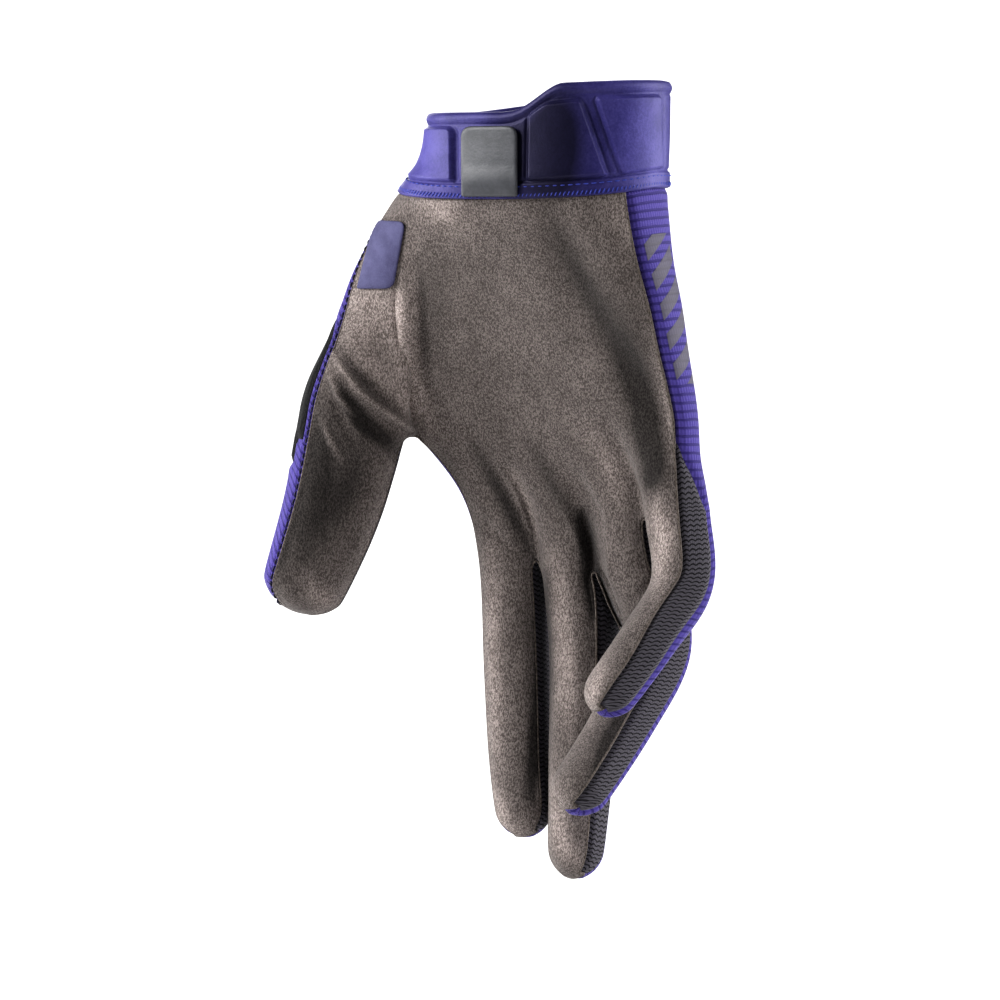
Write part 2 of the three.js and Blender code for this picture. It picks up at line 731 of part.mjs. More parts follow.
// A closed sheet over a set of faces, from one height above the surface to another.
function sheet(set, low, high, retreat) {
  const { shifts, edges } = stepBack(set, retreat);
  const used = [...new Set(set.flatMap(({ ids }) => ids))];
  const order = new Map(used.map((id, i) => [id, i]));
  const positions = [];
  for (const height of [high, low])
    used.forEach((id) => {
      const point = corners[id].clone().addScaledVector(normals[id], height);
      if (shifts.has(id)) point.add(shifts.get(id));
      positions.push(point.x, point.y, point.z);
    });
  const index = [];
  const n = used.length;
  set.forEach(({ ids }) => {
    const [a, b, c] = ids.map((id) => order.get(id));
    index.push(a, b, c, n + a, n + c, n + b);
  });
  edges.forEach(({ a, b }) => {
    if (edges.has(`${b} ${a}`)) return;
    const [i, j] = [order.get(a), order.get(b)];
    if (a < b) index.push(i, n + i, n + j, i, n + j, j);
    else index.push(i, n + i, j, j, n + i, n + j);
  });
  return { positions, index };
}

function solidFrom({ positions, index }) {
  return new wasm.Manifold(
    new wasm.Mesh({
      numProp: 3,
      vertProperties: new Float32Array(positions),
      triVerts: new Uint32Array(index),
    }),
  );
}

// A straight block over an outline drawn square to the palm's viewing side.
function outlineBlock(draw, from, to) {
  const shape = new THREE.Shape();
  draw(shape);
  const block = new THREE.ExtrudeGeometry(shape, {
    depth: to - from,
    bevelEnabled: false,
    curveSegments: 5,
  });
  block.translate(0, 0, from);
  block.deleteAttribute("normal");
  block.deleteAttribute("uv");
  const up = new THREE.Vector3(0, 0, 1);
  block.applyMatrix4(new THREE.Matrix4().makeBasis(viewSide, up, viewFront));
  const merged = mergeVertices(block, 1e-4);
  return solidFrom({
    positions: merged.attributes.position.array,
    index: merged.index.array,
  });
}

// A rounded outline through corner points given as shares across and down.
function roundedOutline(points, radius) {
  return (shape) => {
    const at = points.map(([a, d]) => new THREE.Vector2(ofBreadth(a), -ofLength(d)));
    at.forEach((p, i) => {
      const before = at[(i + at.length - 1) % at.length];
      const after = at[(i + 1) % at.length];
      const cut = ofBreadth(radius[i]);
      const start = p.clone().addScaledVector(before.clone().sub(p).normalize(), cut);
      const stop = p.clone().addScaledVector(after.clone().sub(p).normalize(), cut);
      if (i === 0) shape.moveTo(start.x, start.y);
      else shape.lineTo(start.x, start.y);
      shape.quadraticCurveTo(p.x, p.y, stop.x, stop.y);
    });
    shape.closePath();
  };
}

function geometryFrom({ positions, index }) {
  const geometry = new THREE.BufferGeometry();
  geometry.setAttribute("position", new THREE.Float32BufferAttribute(positions, 3));
  geometry.setIndex([...index]);
  geometry.computeVertexNormals();
  return geometry;
}

function geometryOf(solid) {
  const made = solid.getMesh();
  return geometryFrom({ positions: made.vertProperties, index: made.triVerts });
}

const glove = new THREE.Group();
glove.name = "mountain_bike_glove";

function addPiece(name, geometry, color, roughness) {
  const material = new THREE.MeshStandardMaterial({ color, roughness });
  material.name = `${name}_surface`;
  const mesh = new THREE.Mesh(geometry, material);
  mesh.name = name;
  glove.add(mesh);
}

const panelOf = (panel) => triangles.filter((t) => t.panel === panel);
const retreat = seamGap / 2;

const panels = [
  { name: "palm_panel", wall: suedeWall, color: 0x8b7d74, roughness: 0.9 },
  { name: "back_panel", wall: knitWall, color: 0x5f4a9c, roughness: 0.85 },
  { name: "thumb_wipe", wall: knitWall, color: 0x1d1c20, roughness: 0.95 },
  { name: "thumb_gusset", wall: meshWall, color: 0x46434c, roughness: 0.9 },
  ...gussets.map((name) => ({ name, wall: meshWall, color: 0x46434c, roughness: 0.9 })),
];
panels.forEach(({ name, wall, color, roughness }) => {
  addPiece(name, geometryFrom(sheet(panelOf(name), -wall, 0, retreat)), color, roughness);
});

// The cuff with its raised pads, and the tab and patch that lie on the surface
const cuffFaces = panelOf("cuff");
const cuffFront = cuffFaces.filter(({ ids }) => ids.some((id) => normals[id].dot(viewFront) > 0.02));
const frontDepth = ofBreadth(80);
const padOutlines = [
  { points: [[-44, 3.4], [-32.2, 3.4], [-32.2, 11], [-50, 11]], radius: [1, 3, 3, 1] },
  { points: [[-6.2, 0.7], [11.6, 0], [21.4, 10.4], [-6.8, 10.9]], radius: [3, 2, 2, 3] },
  { points: [[16.4, -0.2], [38.6, -0.6], [39.4, 9.9], [26, 10.1]], radius: [2, 2, 2, 2] },
];
let cuffSolid = solidFrom(sheet(cuffFaces, -cuffWall, cuffProud, retreat));
padOutlines.forEach(({ points, radius }) => {
  const layer = solidFrom(sheet(cuffFront, cuffProud - 0.4, cuffProud + padRise, retreat + 0.6));
  const block = outlineBlock(roundedOutline(points, radius), 0, frontDepth);
  cuffSolid = cuffSolid.add(layer.intersect(block));
});
addPiece("cuff", geometryOf(cuffSolid), 0x33307c, 0.55);

function cutPiece(name, set, low, high, outline, from, color, roughness) {
  const layer = solidFrom(sheet(set, low, high, retreat + 0.3));
  const block = outlineBlock(outline, from, frontDepth);
  addPiece(name, geometryOf(layer.intersect(block)), color, roughness);
}

const tabOutline = roundedOutline(
  [
    [-29.6, 3.4],
    [-10.2, 3.4],
    [-10.2, 12.2],
    [-29.6, 12.2],
  ],
  [4, 4, 1, 1],
);
const tabLow = cuffProud + patchGap;
cutPiece("cuff_tab", cuffFront, tabLow, tabLow + patchThick, tabOutline, 0, 0xa9adb3, 0.5);

const patchOutline = roundedOutline(
  [
    [-62.5, 15.4],
    [-50.9, 15.2],
    [-53.5, 23.7],
    [-68.5, 23.9],
  ],
  [1, 3, 3, 1],
);
const palmFaces = panelOf("palm_panel").filter(({ ids }) => ids.every((id) => normals[id].dot(viewFront) > 0.05));
const patchHigh = patchGap + patchThick;
cutPiece("thumb_patch", palmFaces, patchGap, patchHigh, patchOutline, -frontDepth, 0x8379bc, 0.8);

export default glove;
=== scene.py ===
import json
import math
import numpy as np
import bpy
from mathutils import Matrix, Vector
from mathutils.bvhtree import BVHTree
from mathutils.kdtree import KDTree

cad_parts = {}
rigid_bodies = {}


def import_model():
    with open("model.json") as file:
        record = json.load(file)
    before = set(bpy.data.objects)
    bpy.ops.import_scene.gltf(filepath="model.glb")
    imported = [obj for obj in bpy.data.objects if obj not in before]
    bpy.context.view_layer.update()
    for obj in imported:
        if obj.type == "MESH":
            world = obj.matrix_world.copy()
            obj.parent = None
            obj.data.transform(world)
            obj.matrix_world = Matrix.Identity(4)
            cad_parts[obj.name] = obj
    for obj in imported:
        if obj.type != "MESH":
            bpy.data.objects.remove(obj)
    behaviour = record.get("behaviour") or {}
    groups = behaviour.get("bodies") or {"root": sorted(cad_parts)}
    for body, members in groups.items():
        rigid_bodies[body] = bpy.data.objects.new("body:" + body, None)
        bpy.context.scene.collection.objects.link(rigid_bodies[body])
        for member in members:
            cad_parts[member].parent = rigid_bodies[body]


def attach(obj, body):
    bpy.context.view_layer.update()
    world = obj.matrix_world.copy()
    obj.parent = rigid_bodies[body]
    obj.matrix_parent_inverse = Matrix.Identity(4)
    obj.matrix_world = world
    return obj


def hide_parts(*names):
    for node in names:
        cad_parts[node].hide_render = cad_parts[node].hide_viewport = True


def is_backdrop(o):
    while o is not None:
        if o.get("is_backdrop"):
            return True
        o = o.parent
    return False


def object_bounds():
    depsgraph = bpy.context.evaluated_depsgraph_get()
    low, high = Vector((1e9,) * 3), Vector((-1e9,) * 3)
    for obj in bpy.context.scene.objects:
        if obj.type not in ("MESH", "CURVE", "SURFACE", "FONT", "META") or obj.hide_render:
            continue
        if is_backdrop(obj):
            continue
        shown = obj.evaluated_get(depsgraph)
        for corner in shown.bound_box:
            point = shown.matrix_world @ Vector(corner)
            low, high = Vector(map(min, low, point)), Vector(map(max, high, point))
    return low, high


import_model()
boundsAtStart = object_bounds()
print("frame loaded")

# Sizes are in millimetres here and turned into metres when a mesh is made.
glove = dict(
    length=222.0, breadth=80.0, fingerColumns=4, thumbColumns=5, sideColumns=4,
    upperRows=10, lowerRows=5, fingerRows=11, thumbRows=7, cuffRows=3,
    digitSquare=2.4, palmSquare=2.5, digitPalmSeam=28, digitBackSeam=35,
    palmPalmSeam=24, palmBackSeam=30, viewTurn=30, subdivisions=3,
    thumbRoot=0.2, webReach=7, fingerBlendStart=0.62,
    wristSide=11, wristPalmDrop=1.45, cuffTop=2, cuffStep=3.4, stepFrom=-0.05, stepOver=0.45,
    cuffSlope=0.6, backFade=0.2, webHalf=0.5, rootHalf=0.5, rowSpread=1.25,
    thumbCrotch=42.8, thumbBase=39.6, partings=[57.7, 58.1, 58.6, 52.7, 51.4],
    thumbEnd=60.8, ends=[89.2, 93.9, 86.5, 74.3], tips=[10.8, 12.2, 10.6, 10],
    thumbTip=10.8, wedgeRow=2, wipeFrom=4, wipeReach=3,
)

# Cross-sections from the cuff to the tips, and the folds of the palm: down in hundredths of the
# length, roll in degrees, the rest in hundredths of the breadth.
palmColumns = ["down", "left", "right", "rear", "tilt", "arch", "palmDeep", "backDeep"]
palmRows = [
    [-2.25, -43.25, 44, 0, 0, 0, 28, 28.12],
    [4.5, -43.25, 43.75, 0, 0, 0, 28, 28.12],
    [8.11, -46.25, 43.25, 0, 0, 0, 28.38, 28.75],
    [10.81, -53.12, 43, 0, 0, 0, 28.75, 30],
    [15.32, -62.5, 44.75, 1.88, 0.62, -3.12, 27.5, 29.12],
    [20.72, -71.25, 47.75, 5, 1.25, -7.5, 24.38, 26.25],
    [26.13, -77.5, 51, 8.75, 1.25, -10, 21.88, 23.75],
    [31.53, -75.62, 52.5, 12.5, 0, -10, 19.75, 21.25],
    [37.84, -67.5, 53.75, 16.25, -1.88, -7.5, 16.88, 18.75],
    [42.79, -61.25, 55.62, 18.75, -4.38, -6.25, 15, 17.25],
    [46.85, -53.12, 56.62, 20.25, -6.25, -6.25, 13.75, 16],
    [50.45, -47.25, 57.5, 21.62, -6.88, -6.88, 12.75, 14.75],
    [54.95, -43.5, 58.13, 22.75, -7.5, -7.5, 11.75, 13.5],
    [60.81, -42.5, 58.13, 23.12, -7.5, -7.5, 11.25, 13.12],
]
digitColumns = ["down", "right", "rear", "wide", "deep", "roll"]
indexRows = [
    [45.05, -31.87, 20.62, 12.5, 11.88, -8],
    [58.11, -27.38, 22.5, 11, 11, -8],
    [72.07, -25.13, 22.25, 11.12, 10.87, -8],
    [82.88, -22.25, 19.5, 10.62, 10.25, -8],
    [89.19, -18.62, 16, 10, 9.5, -8],
]
middleRows = [
    [45.05, -5, 22.5, 12.5, 11.88, 0],
    [58.56, -3.25, 25, 11, 11, 4],
    [69.37, 0.38, 24.62, 11.25, 11, 6],
    [84.5, 2.12, 20, 10.87, 10.5, 6],
    [93.92, 3.25, 15, 9.62, 9.25, 6],
]
ringRows = [
    [45.05, 18.75, 21.25, 12.25, 11.62, 6],
    [57.21, 23.25, 21.25, 11.25, 10.75, 12],
    [68.47, 30.5, 25, 11.12, 10.75, 16],
    [78.83, 26, 5.75, 10.62, 10.25, 17],
    [86.49, 20.62, -11.88, 10.12, 9.5, 15],
]
littleRows = [
    [42.79, 39.38, 13.75, 11.5, 11, 18],
    [52.7, 45.5, 11.88, 10.87, 10.75, 26],
    [61.26, 47.25, 11.25, 10.62, 10.5, 32],
    [68.47, 42.25, -5, 10, 9.75, 33],
    [74.32, 35.62, -16.88, 9.38, 9, 30],
]
thumbRows = [
    [20.27, -50, -2.5, 22.5, 18.75, -25],
    [29.28, -63.12, -8.12, 21.88, 18.12, -38],
    [39.64, -71.25, -11.88, 19.25, 15.62, -45],
    [50.45, -77.5, -15.62, 17.38, 14.37, -45],
    [56.76, -82.88, -18.12, 16, 13.12, -45],
    [61.04, -87.38, -19.38, 14.75, 11.75, -45],
]
foldColumns = ["a0", "d0", "a1", "d1", "a2", "d2", "wide", "tall"]
folds = [
    [-75, 32.8, -62.5, 38, -47.5, 41.8, 2.6, 2.2],
    [-76, 34.5, -73, 37.4, -67, 40.2, 2.2, 1.4],
    [-72, 31.5, -62, 35, -54, 38.6, 2.6, -1.8],
    [-48, 24, -47.6, 30, -45, 38, 3.4, 1.3],
    [-17.9, 44.8, -11.6, 49.2, -5.2, 55.2, 2.6, 1],
    [-24.5, 53, -15, 56.1, -9.5, 57.4, 2.4, -1],
    [-44.5, 24, -43.6, 31, -41.5, 38, 3.2, -1.3],
]

def mix(a, b, t):
    return a + (b - a) * t


def clamp(t):
    return min(1.0, max(0.0, t))


def smooth(t):
    t = clamp(t)
    return t * t * (3 - 2 * t)


def smoothAll(values):
    t = np.clip(values, 0, 1)
    return t * t * (3 - 2 * t)


def bend(value, power):
    return math.copysign(abs(value) ** power, value)


def ofLength(share):
    return share / 100 * glove["length"]


def ofBreadth(share):
    return share / 100 * glove["breadth"]


def measured(columns, rows):
    units = {"down": ofLength(1), "roll": math.radians(1)}
    return [{c: v * units.get(c, ofBreadth(1)) for c, v in zip(columns, row)} for row in rows]


palmTable = measured(palmColumns, palmRows)
fingerRows = (indexRows, middleRows, ringRows, littleRows)
digitTables = [measured(digitColumns, rows) for rows in fingerRows]
thumbTable = measured(digitColumns, thumbRows)
partings = [ofLength(v) for v in glove["partings"]]
digitEnds = [ofLength(v) for v in glove["ends"]]
digitTips = [ofBreadth(v) for v in glove["tips"]]
thumbBase = ofLength(glove["thumbBase"])
thumbCrotch = ofLength(glove["thumbCrotch"])
fingerColumns = glove["fingerColumns"]
thumbColumns = glove["thumbColumns"]
sideColumns = glove["sideColumns"]
upperRows = glove["upperRows"]
lowerRows = glove["lowerRows"]
handColumns = 4 * fingerColumns
allColumns = thumbColumns + handColumns
digitPalmSeam = math.radians(glove["digitPalmSeam"])
digitBackSeam = math.radians(glove["digitBackSeam"])
palmPalmSeam = math.radians(glove["palmPalmSeam"])
palmBackSeam = math.radians(glove["palmBackSeam"])
viewTurn = math.radians(glove["viewTurn"])
viewSide = np.array([math.cos(viewTurn), math.sin(viewTurn), 0.0])
viewFront = np.array([math.sin(viewTurn), -math.cos(viewTurn), 0.0])


def slopeAt(rows, i, name):
    a = rows[max(0, i - 1)]
    b = rows[min(len(rows) - 1, i + 1)]
    return (b[name] - a[name]) / (b["down"] - a["down"])


# Reads a table at a level, with smooth slopes through its rows and straight ends.
def readRow(rows, down):
    i = 0
    while i < len(rows) - 2 and down > rows[i + 1]["down"]:
        i += 1
    a, b = rows[i], rows[i + 1]
    gap = b["down"] - a["down"]
    t = (down - a["down"]) / gap
    row = {}
    for name in a:
        sa, sb = slopeAt(rows, i, name), slopeAt(rows, i + 1, name)
        if t < 0:
            row[name] = a[name] + sa * (down - a["down"])
        elif t > 1:
            row[name] = b[name] + sb * (down - b["down"])
        else:
            row[name] = (a[name] * (1 + 2 * t) * (1 - t) ** 2 + b[name] * t * t * (3 - 2 * t)
                         + gap * (sa * t * (1 - t) ** 2 - sb * t * t * (1 - t)))
    return row


def centreOf(row):
    return np.array([row["right"], row["rear"], -row["down"]])


def unit(v):
    return v / np.linalg.norm(v)


def tubePoint(rows, down, angle, reach=1.0, beyond=0.0):
    row = readRow(rows, down)
    along = unit(centreOf(readRow(rows, down + 0.5)) - centreOf(readRow(rows, down - 0.5)))
    front = np.array([-math.sin(row["roll"]), -math.cos(row["roll"]), 0.0])
    side = unit(np.cross(front, along))
    pad = np.cross(along, side)
    power = 2 / glove["digitSquare"]
    across = bend(math.cos(angle), power) * row["wide"] * reach
    lift = bend(math.sin(angle), power) * row["deep"] * reach
    return centreOf(row) + side * across + pad * lift + along * beyond


def palmPoint(down, angle):
    row = readRow(palmTable, down)
    across = bend(math.cos(angle), 2 / glove["palmSquare"])
    lift = bend(math.sin(angle), 2 / glove["palmSquare"])
    half = (row["right"] - row["left"]) / 2
    deep = row["palmDeep"] if lift > 0 else row["backDeep"]
    return np.array([(row["left"] + row["right"]) / 2 + half * across,
                     row["rear"] + row["tilt"] * across + row["arch"] * across * across - deep * lift,
                     -down])


def palmAngle(across, facing):
    return facing * math.acos(max(-1, min(1, bend(across, glove["palmSquare"] / 2))))


def edgeOf(facing):
    seam = palmPalmSeam if facing > 0 else palmBackSeam
    return bend(math.cos(seam), 2 / glove["palmSquare"])


def ulnarAngle(k):
    return mix(palmPalmSeam, -palmBackSeam, k / sideColumns)


def digitUlnar(k):
    return mix(digitPalmSeam, -digitBackSeam, k / sideColumns)


def digitRadial(k):
    return math.pi - digitUlnar(k)


def radialAngle(k):
    return math.pi - ulnarAngle(k)


def digitAngle(share, facing):
    seam = digitPalmSeam if facing > 0 else digitBackSeam
    return facing * mix(math.pi - seam, seam, share)


def wristDown(angle):
    return ofLength(glove["wristSide"] + glove["wristPalmDrop"] * max(0, math.sin(angle)))


def cuffTop(angle):
    across = math.cos(angle)
    step = smooth((across - glove["stepFrom"]) / glove["stepOver"])
    palmSide = glove["cuffTop"] - glove["cuffStep"] * step - glove["cuffSlope"] * max(0, across)
    backSide = -glove["cuffTop"] * across
    share = smooth((math.sin(angle) + glove["backFade"]) / (2 * glove["backFade"]))
    return ofLength(mix(backSide, palmSide, share))


radialWrist = wristDown(math.pi)
thumbShare = (thumbCrotch - radialWrist) / (partings[0] - radialWrist)
bodyShares = [thumbShare * r / upperRows for r in range(upperRows + 1)]
bodyShares += [mix(thumbShare, 1, r / lowerRows) for r in range(1, lowerRows + 1)]


def fingerBlend(s):
    return smooth((s - glove["fingerBlendStart"]) / (1 - glove["fingerBlendStart"]))


def thumbBlend(s):
    return smooth(s / thumbShare)


def leftEdge(s, facing):
    return edgeOf(facing) * (-1 + 2 * glove["thumbRoot"] * (1 - smooth(s / thumbShare)))


def partingLevel(column):
    place = column / fingerColumns
    digit = min(3, int(place))
    return mix(partings[digit], partings[digit + 1], place - digit)


def plainHand(column, facing, s):
    across = mix(leftEdge(s, facing), edgeOf(facing), column / handColumns)
    angle = palmAngle(across, facing)
    down = mix(wristDown(angle), partingLevel(column), s)
    digit = min(3, column // fingerColumns)
    share = column / fingerColumns - digit
    onTube = tubePoint(digitTables[digit], down, digitAngle(share, facing))
    if share == 0 and column > 0:
        other = tubePoint(digitTables[digit - 1], down, digitAngle(1, facing))
        onTube = mix(onTube, other, 0.5)
    return mix(palmPoint(down, angle), onTube, fingerBlend(s))


def thumbStation(s):
    return mix(radialWrist, thumbBase, s / thumbShare)


# How much of the thumb's pull on the hand is left at a level below their parting.
def webFade(s):
    return (1 - clamp((s - thumbShare) / (1 - thumbShare))) ** 3


def webPull(facing, s):
    at = min(s, thumbShare)
    plain = plainHand(0, facing, at)
    onThumb = tubePoint(thumbTable, thumbStation(at), digitAngle(1, facing))
    return (onThumb - plain) * glove["webHalf"] * thumbBlend(at) * webFade(s)


def handPoint(column, facing, s):
    near = clamp(1 - column / glove["webReach"]) ** 2
    point = plainHand(column, facing, s)
    return point + webPull(facing, s) * near if near > 0 else point


def thumbPoint(column, facing, s):
    share = column / thumbColumns
    angle = palmAngle(mix(-edgeOf(facing), leftEdge(s, facing), share), facing)
    down = mix(wristDown(angle), thumbCrotch, s / thumbShare)
    onTube = tubePoint(thumbTable, thumbStation(s), digitAngle(share, facing))
    return mix(palmPoint(down, angle), onTube, thumbBlend(s) * (1 - glove["rootHalf"] * share ** 3))


def outerEdge(k, s):
    down = mix(radialWrist, thumbCrotch, s / thumbShare)
    onTube = tubePoint(thumbTable, thumbStation(s), digitRadial(k))
    return mix(palmPoint(down, radialAngle(k)), onTube, thumbBlend(s))


def littleEdge(k, s):
    down = mix(wristDown(ulnarAngle(k)), partings[4], s)
    onTube = tubePoint(digitTables[3], down, digitUlnar(k))
    return mix(palmPoint(down, ulnarAngle(k)), onTube, fingerBlend(s))


def plainIndexEdge(k, s):
    down = mix(radialWrist, partings[0], s)
    onTube = tubePoint(digitTables[0], down, digitRadial(k))
    return mix(palmPoint(down, radialAngle(k)), onTube, fingerBlend(s))


def thumbWeb(k):
    return mix(plainIndexEdge(k, thumbShare), tubePoint(thumbTable, thumbBase, digitUlnar(k)), 0.5)


def indexEdge(k, s):
    return plainIndexEdge(k, s) + (thumbWeb(k) - plainIndexEdge(k, thumbShare)) * webFade(s)


def fingerWeb(digit, k):
    left = tubePoint(digitTables[digit], partings[digit + 1], digitUlnar(k))
    right = tubePoint(digitTables[digit + 1], partings[digit + 1], digitRadial(k))
    return mix(left, right, 0.5)


# The whole surface as corners and faces; each face knows its panel and its place on the cloth.
corners = []
cornerIds = {}
faces = []
facePanels = []
facePlaces = []
panelNames = ["palm_panel", "back_panel", "thumb_wipe", "thumb_gusset", "index_middle_gusset",
              "middle_ring_gusset", "ring_little_gusset", "little_gusset", "cuff"]


def corner(key, make):
    if key not in cornerIds:
        cornerIds[key] = len(corners)
        corners.append(make())
    return cornerIds[key]


def addFace(ids, places, panel):
    faces.append(ids)
    facePlaces.append(places)
    facePanels.append(panelNames.index(panel))


# A ring of corner ids with its place on the cloth: round it, and along it from the wrist.
class Ring:
    def __init__(self, ids, along=None, anchor=0, anchorAt=0.0):
        self.ids = ids
        line = [corners[i] for i in ids]
        steps = [np.linalg.norm(b - a) for a, b in zip(line, line[1:] + line[:1])]
        self.round = np.concatenate([[0.0], np.cumsum(steps)])
        self.round += anchorAt - self.round[anchor]
        self.along = along if along is not None else np.zeros(len(ids))


def alongFrom(upper, ids):
    steps = np.array([np.linalg.norm(corners[i] - corners[j]) for i, j in zip(upper.ids, ids)])
    return upper.along + steps


def joinRings(upper, lower, panelOf):
    n = len(upper.ids)
    for q in range(n):
        k = (q + 1) % n
        ids = [upper.ids[q], upper.ids[k], lower.ids[k], lower.ids[q]]
        places = [(upper.round[q], upper.along[q]), (upper.round[q + 1], upper.along[k]),
                  (lower.round[q + 1], lower.along[k]), (lower.round[q], lower.along[q])]
        panel = panelOf(q)
        if isinstance(panel, list):
            addFace([ids[0], ids[1], ids[2]], [places[0], places[1], places[2]], panel[1])
            addFace([ids[0], ids[2], ids[3]], [places[0], places[2], places[3]], panel[0])
        else:
            addFace(ids, places, panel)


def ringIds(columns, palmId, ulnarId, backId, radialId):
    return ([palmId(i) for i in range(columns + 1)]
            + [ulnarId(k) for k in range(1, sideColumns)]
            + [backId(columns - i) for i in range(columns + 1)]
            + [radialId(sideColumns - k) for k in range(1, sideColumns)])


def partOfRing(columns, q):
    starts = [0, columns, columns + sideColumns, 2 * columns + sideColumns]
    part = sum(q >= start for start in starts) - 1
    return ["palm", "ulnar", "back", "radial"][part], q - starts[part]


def bodyIds(row):
    s = bodyShares[row]
    inThumb = row <= upperRows
    columns = allColumns if inThumb else handColumns
    skip = allColumns - columns

    def bodyId(facing):
        def make(i):
            column = i + skip - thumbColumns
            side = "palm" if facing > 0 else "back"
            if column < 0:
                return corner((side, row, column), lambda: thumbPoint(column + thumbColumns, facing, s))
            return corner((side, row, column), lambda: handPoint(column, facing, s))
        return make

    edge = outerEdge if inThumb else indexEdge
    return ringIds(columns, bodyId(1), lambda k: corner(("ulnar", row, k), lambda: littleEdge(k, s)),
                   bodyId(-1), lambda k: corner(("radial", row, k), lambda: edge(k, s)))


def bodyPanel(row, columns):
    def panel(q):
        part, column = partOfRing(columns, q)
        if part == "palm":
            return "palm_panel"
        full = row - upperRows - glove["wedgeRow"]
        if part == "ulnar" and full >= 0 and column <= full:
            return "little_gusset" if column < full else ["little_gusset", "back_panel"]
        wiped = row - glove["wipeFrom"]
        if columns != allColumns or wiped < 0:
            return "back_panel"
        if part == "back" and columns - 1 - column < thumbColumns:
            return "thumb_wipe"
        if part == "radial" and column < min(wiped, glove["wipeReach"]):
            return "thumb_wipe"
        if part == "radial" and column == wiped and wiped < glove["wipeReach"]:
            return ["thumb_wipe", "back_panel"]
        return "back_panel"
    return panel


def cuffAngle(q):
    part, column = partOfRing(allColumns, q)
    if part == "ulnar":
        return ulnarAngle(column)
    if part == "radial":
        return radialAngle(sideColumns - column)
    facing = 1 if part == "palm" else -1
    place = (column if part == "palm" else allColumns - column) - thumbColumns
    left = leftEdge(0, facing)
    if place < 0:
        return palmAngle(mix(left, -edgeOf(facing), -place / thumbColumns), facing)
    return palmAngle(mix(left, edgeOf(facing), place / handColumns), facing)


def cuffIds(row):
    if row == 0:
        return bodyIds(0)
    share = (row + glove["cuffRows"]) / glove["cuffRows"]
    ids = []
    for q in range(len(bodyIds(0))):
        at = cuffAngle(q)
        ids.append(corner(("cuff", row, q), lambda: palmPoint(mix(cuffTop(at), wristDown(at), share), at)))
    return ids


domeAngles = [math.radians(v) for v in (24, 45, 63)]  # the rows of a round tip
capStep = 2.0  # cloth length of one row of a tip's cap


def addDigit(name, rows, columns, first, starts, end, tip, rowCount, panelOf):
    upper = first
    angles = []
    for q in range(len(first.ids)):
        part, column = partOfRing(columns, q)
        if part == "palm":
            angles.append(digitAngle(column / columns, 1))
        elif part == "back":
            angles.append(digitAngle(1 - column / columns, -1))
        else:
            angles.append(digitUlnar(column) if part == "ulnar" else digitRadial(sideColumns - column))
    anchor = columns + sideColumns

    def nextRing(ids):
        return Ring(ids, alongFrom(upper, ids), anchor, first.round[anchor])

    for r in range(1, rowCount + 1):
        share = (r / rowCount) ** glove["rowSpread"]
        ids = [corner((name, r, q), lambda: tubePoint(rows, mix(starts[q], end, share), angles[q]))
               for q in range(len(angles))]
        lower = nextRing(ids)
        joinRings(upper, lower, lambda q: panelOf(r - 1, q))
        upper = lower
    for d, rise in enumerate(domeAngles):
        ids = [corner((name, "dome", d, q),
                      lambda: tubePoint(rows, end, angles[q], math.cos(rise), tip * math.sin(rise)))
               for q in range(len(angles))]
        lower = nextRing(ids)
        joinRings(upper, lower, lambda q: panelOf(rowCount, q))
        upper = lower
    closeTip(name, rows, columns, upper, angles, end, tip)


def closeTip(name, rows, columns, last, angles, end, tip):
    reach = math.cos(domeAngles[-1])

    def spot(i, j):
        if j == 0:
            return i
        if i == columns:
            return columns + j
        if j == sideColumns:
            return 2 * columns + sideColumns - i
        return 2 * columns + 2 * sideColumns - j

    def rim(i, j):
        angle = angles[spot(i, j)]
        return np.array([math.cos(angle), math.sin(angle)]) * reach

    def gridId(i, j):
        if i in (0, columns) or j in (0, sideColumns):
            return last.ids[spot(i, j)]

        def make():
            u, v = i / columns, j / sideColumns
            flat = (rim(i, 0) * (1 - v) + rim(i, sideColumns) * v
                    + rim(0, j) * (1 - u) + rim(columns, j) * u
                    - rim(0, 0) * (1 - u) * (1 - v) - rim(columns, 0) * u * (1 - v)
                    - rim(0, sideColumns) * (1 - u) * v - rim(columns, sideColumns) * u * v)
            size = np.linalg.norm(flat)
            angle = math.atan2(flat[1], flat[0])
            return tubePoint(rows, end, angle, size, tip * math.sqrt(1 - size * size))
        return corner((name, "cap", i, j), make)

    for j in range(sideColumns):
        for i in range(columns):
            ids = [gridId(i, j), gridId(i + 1, j), gridId(i + 1, j + 1), gridId(i, j + 1)]
            base = last.along[spot(i, 0)]
            low, high = base + capStep * j, base + capStep * (j + 1)
            left, right = last.round[i], last.round[i + 1]
            places = [(left, low), (right, low), (right, high), (left, high)]
            addFace(ids, places, "palm_panel" if j < sideColumns / 2 else "back_panel")


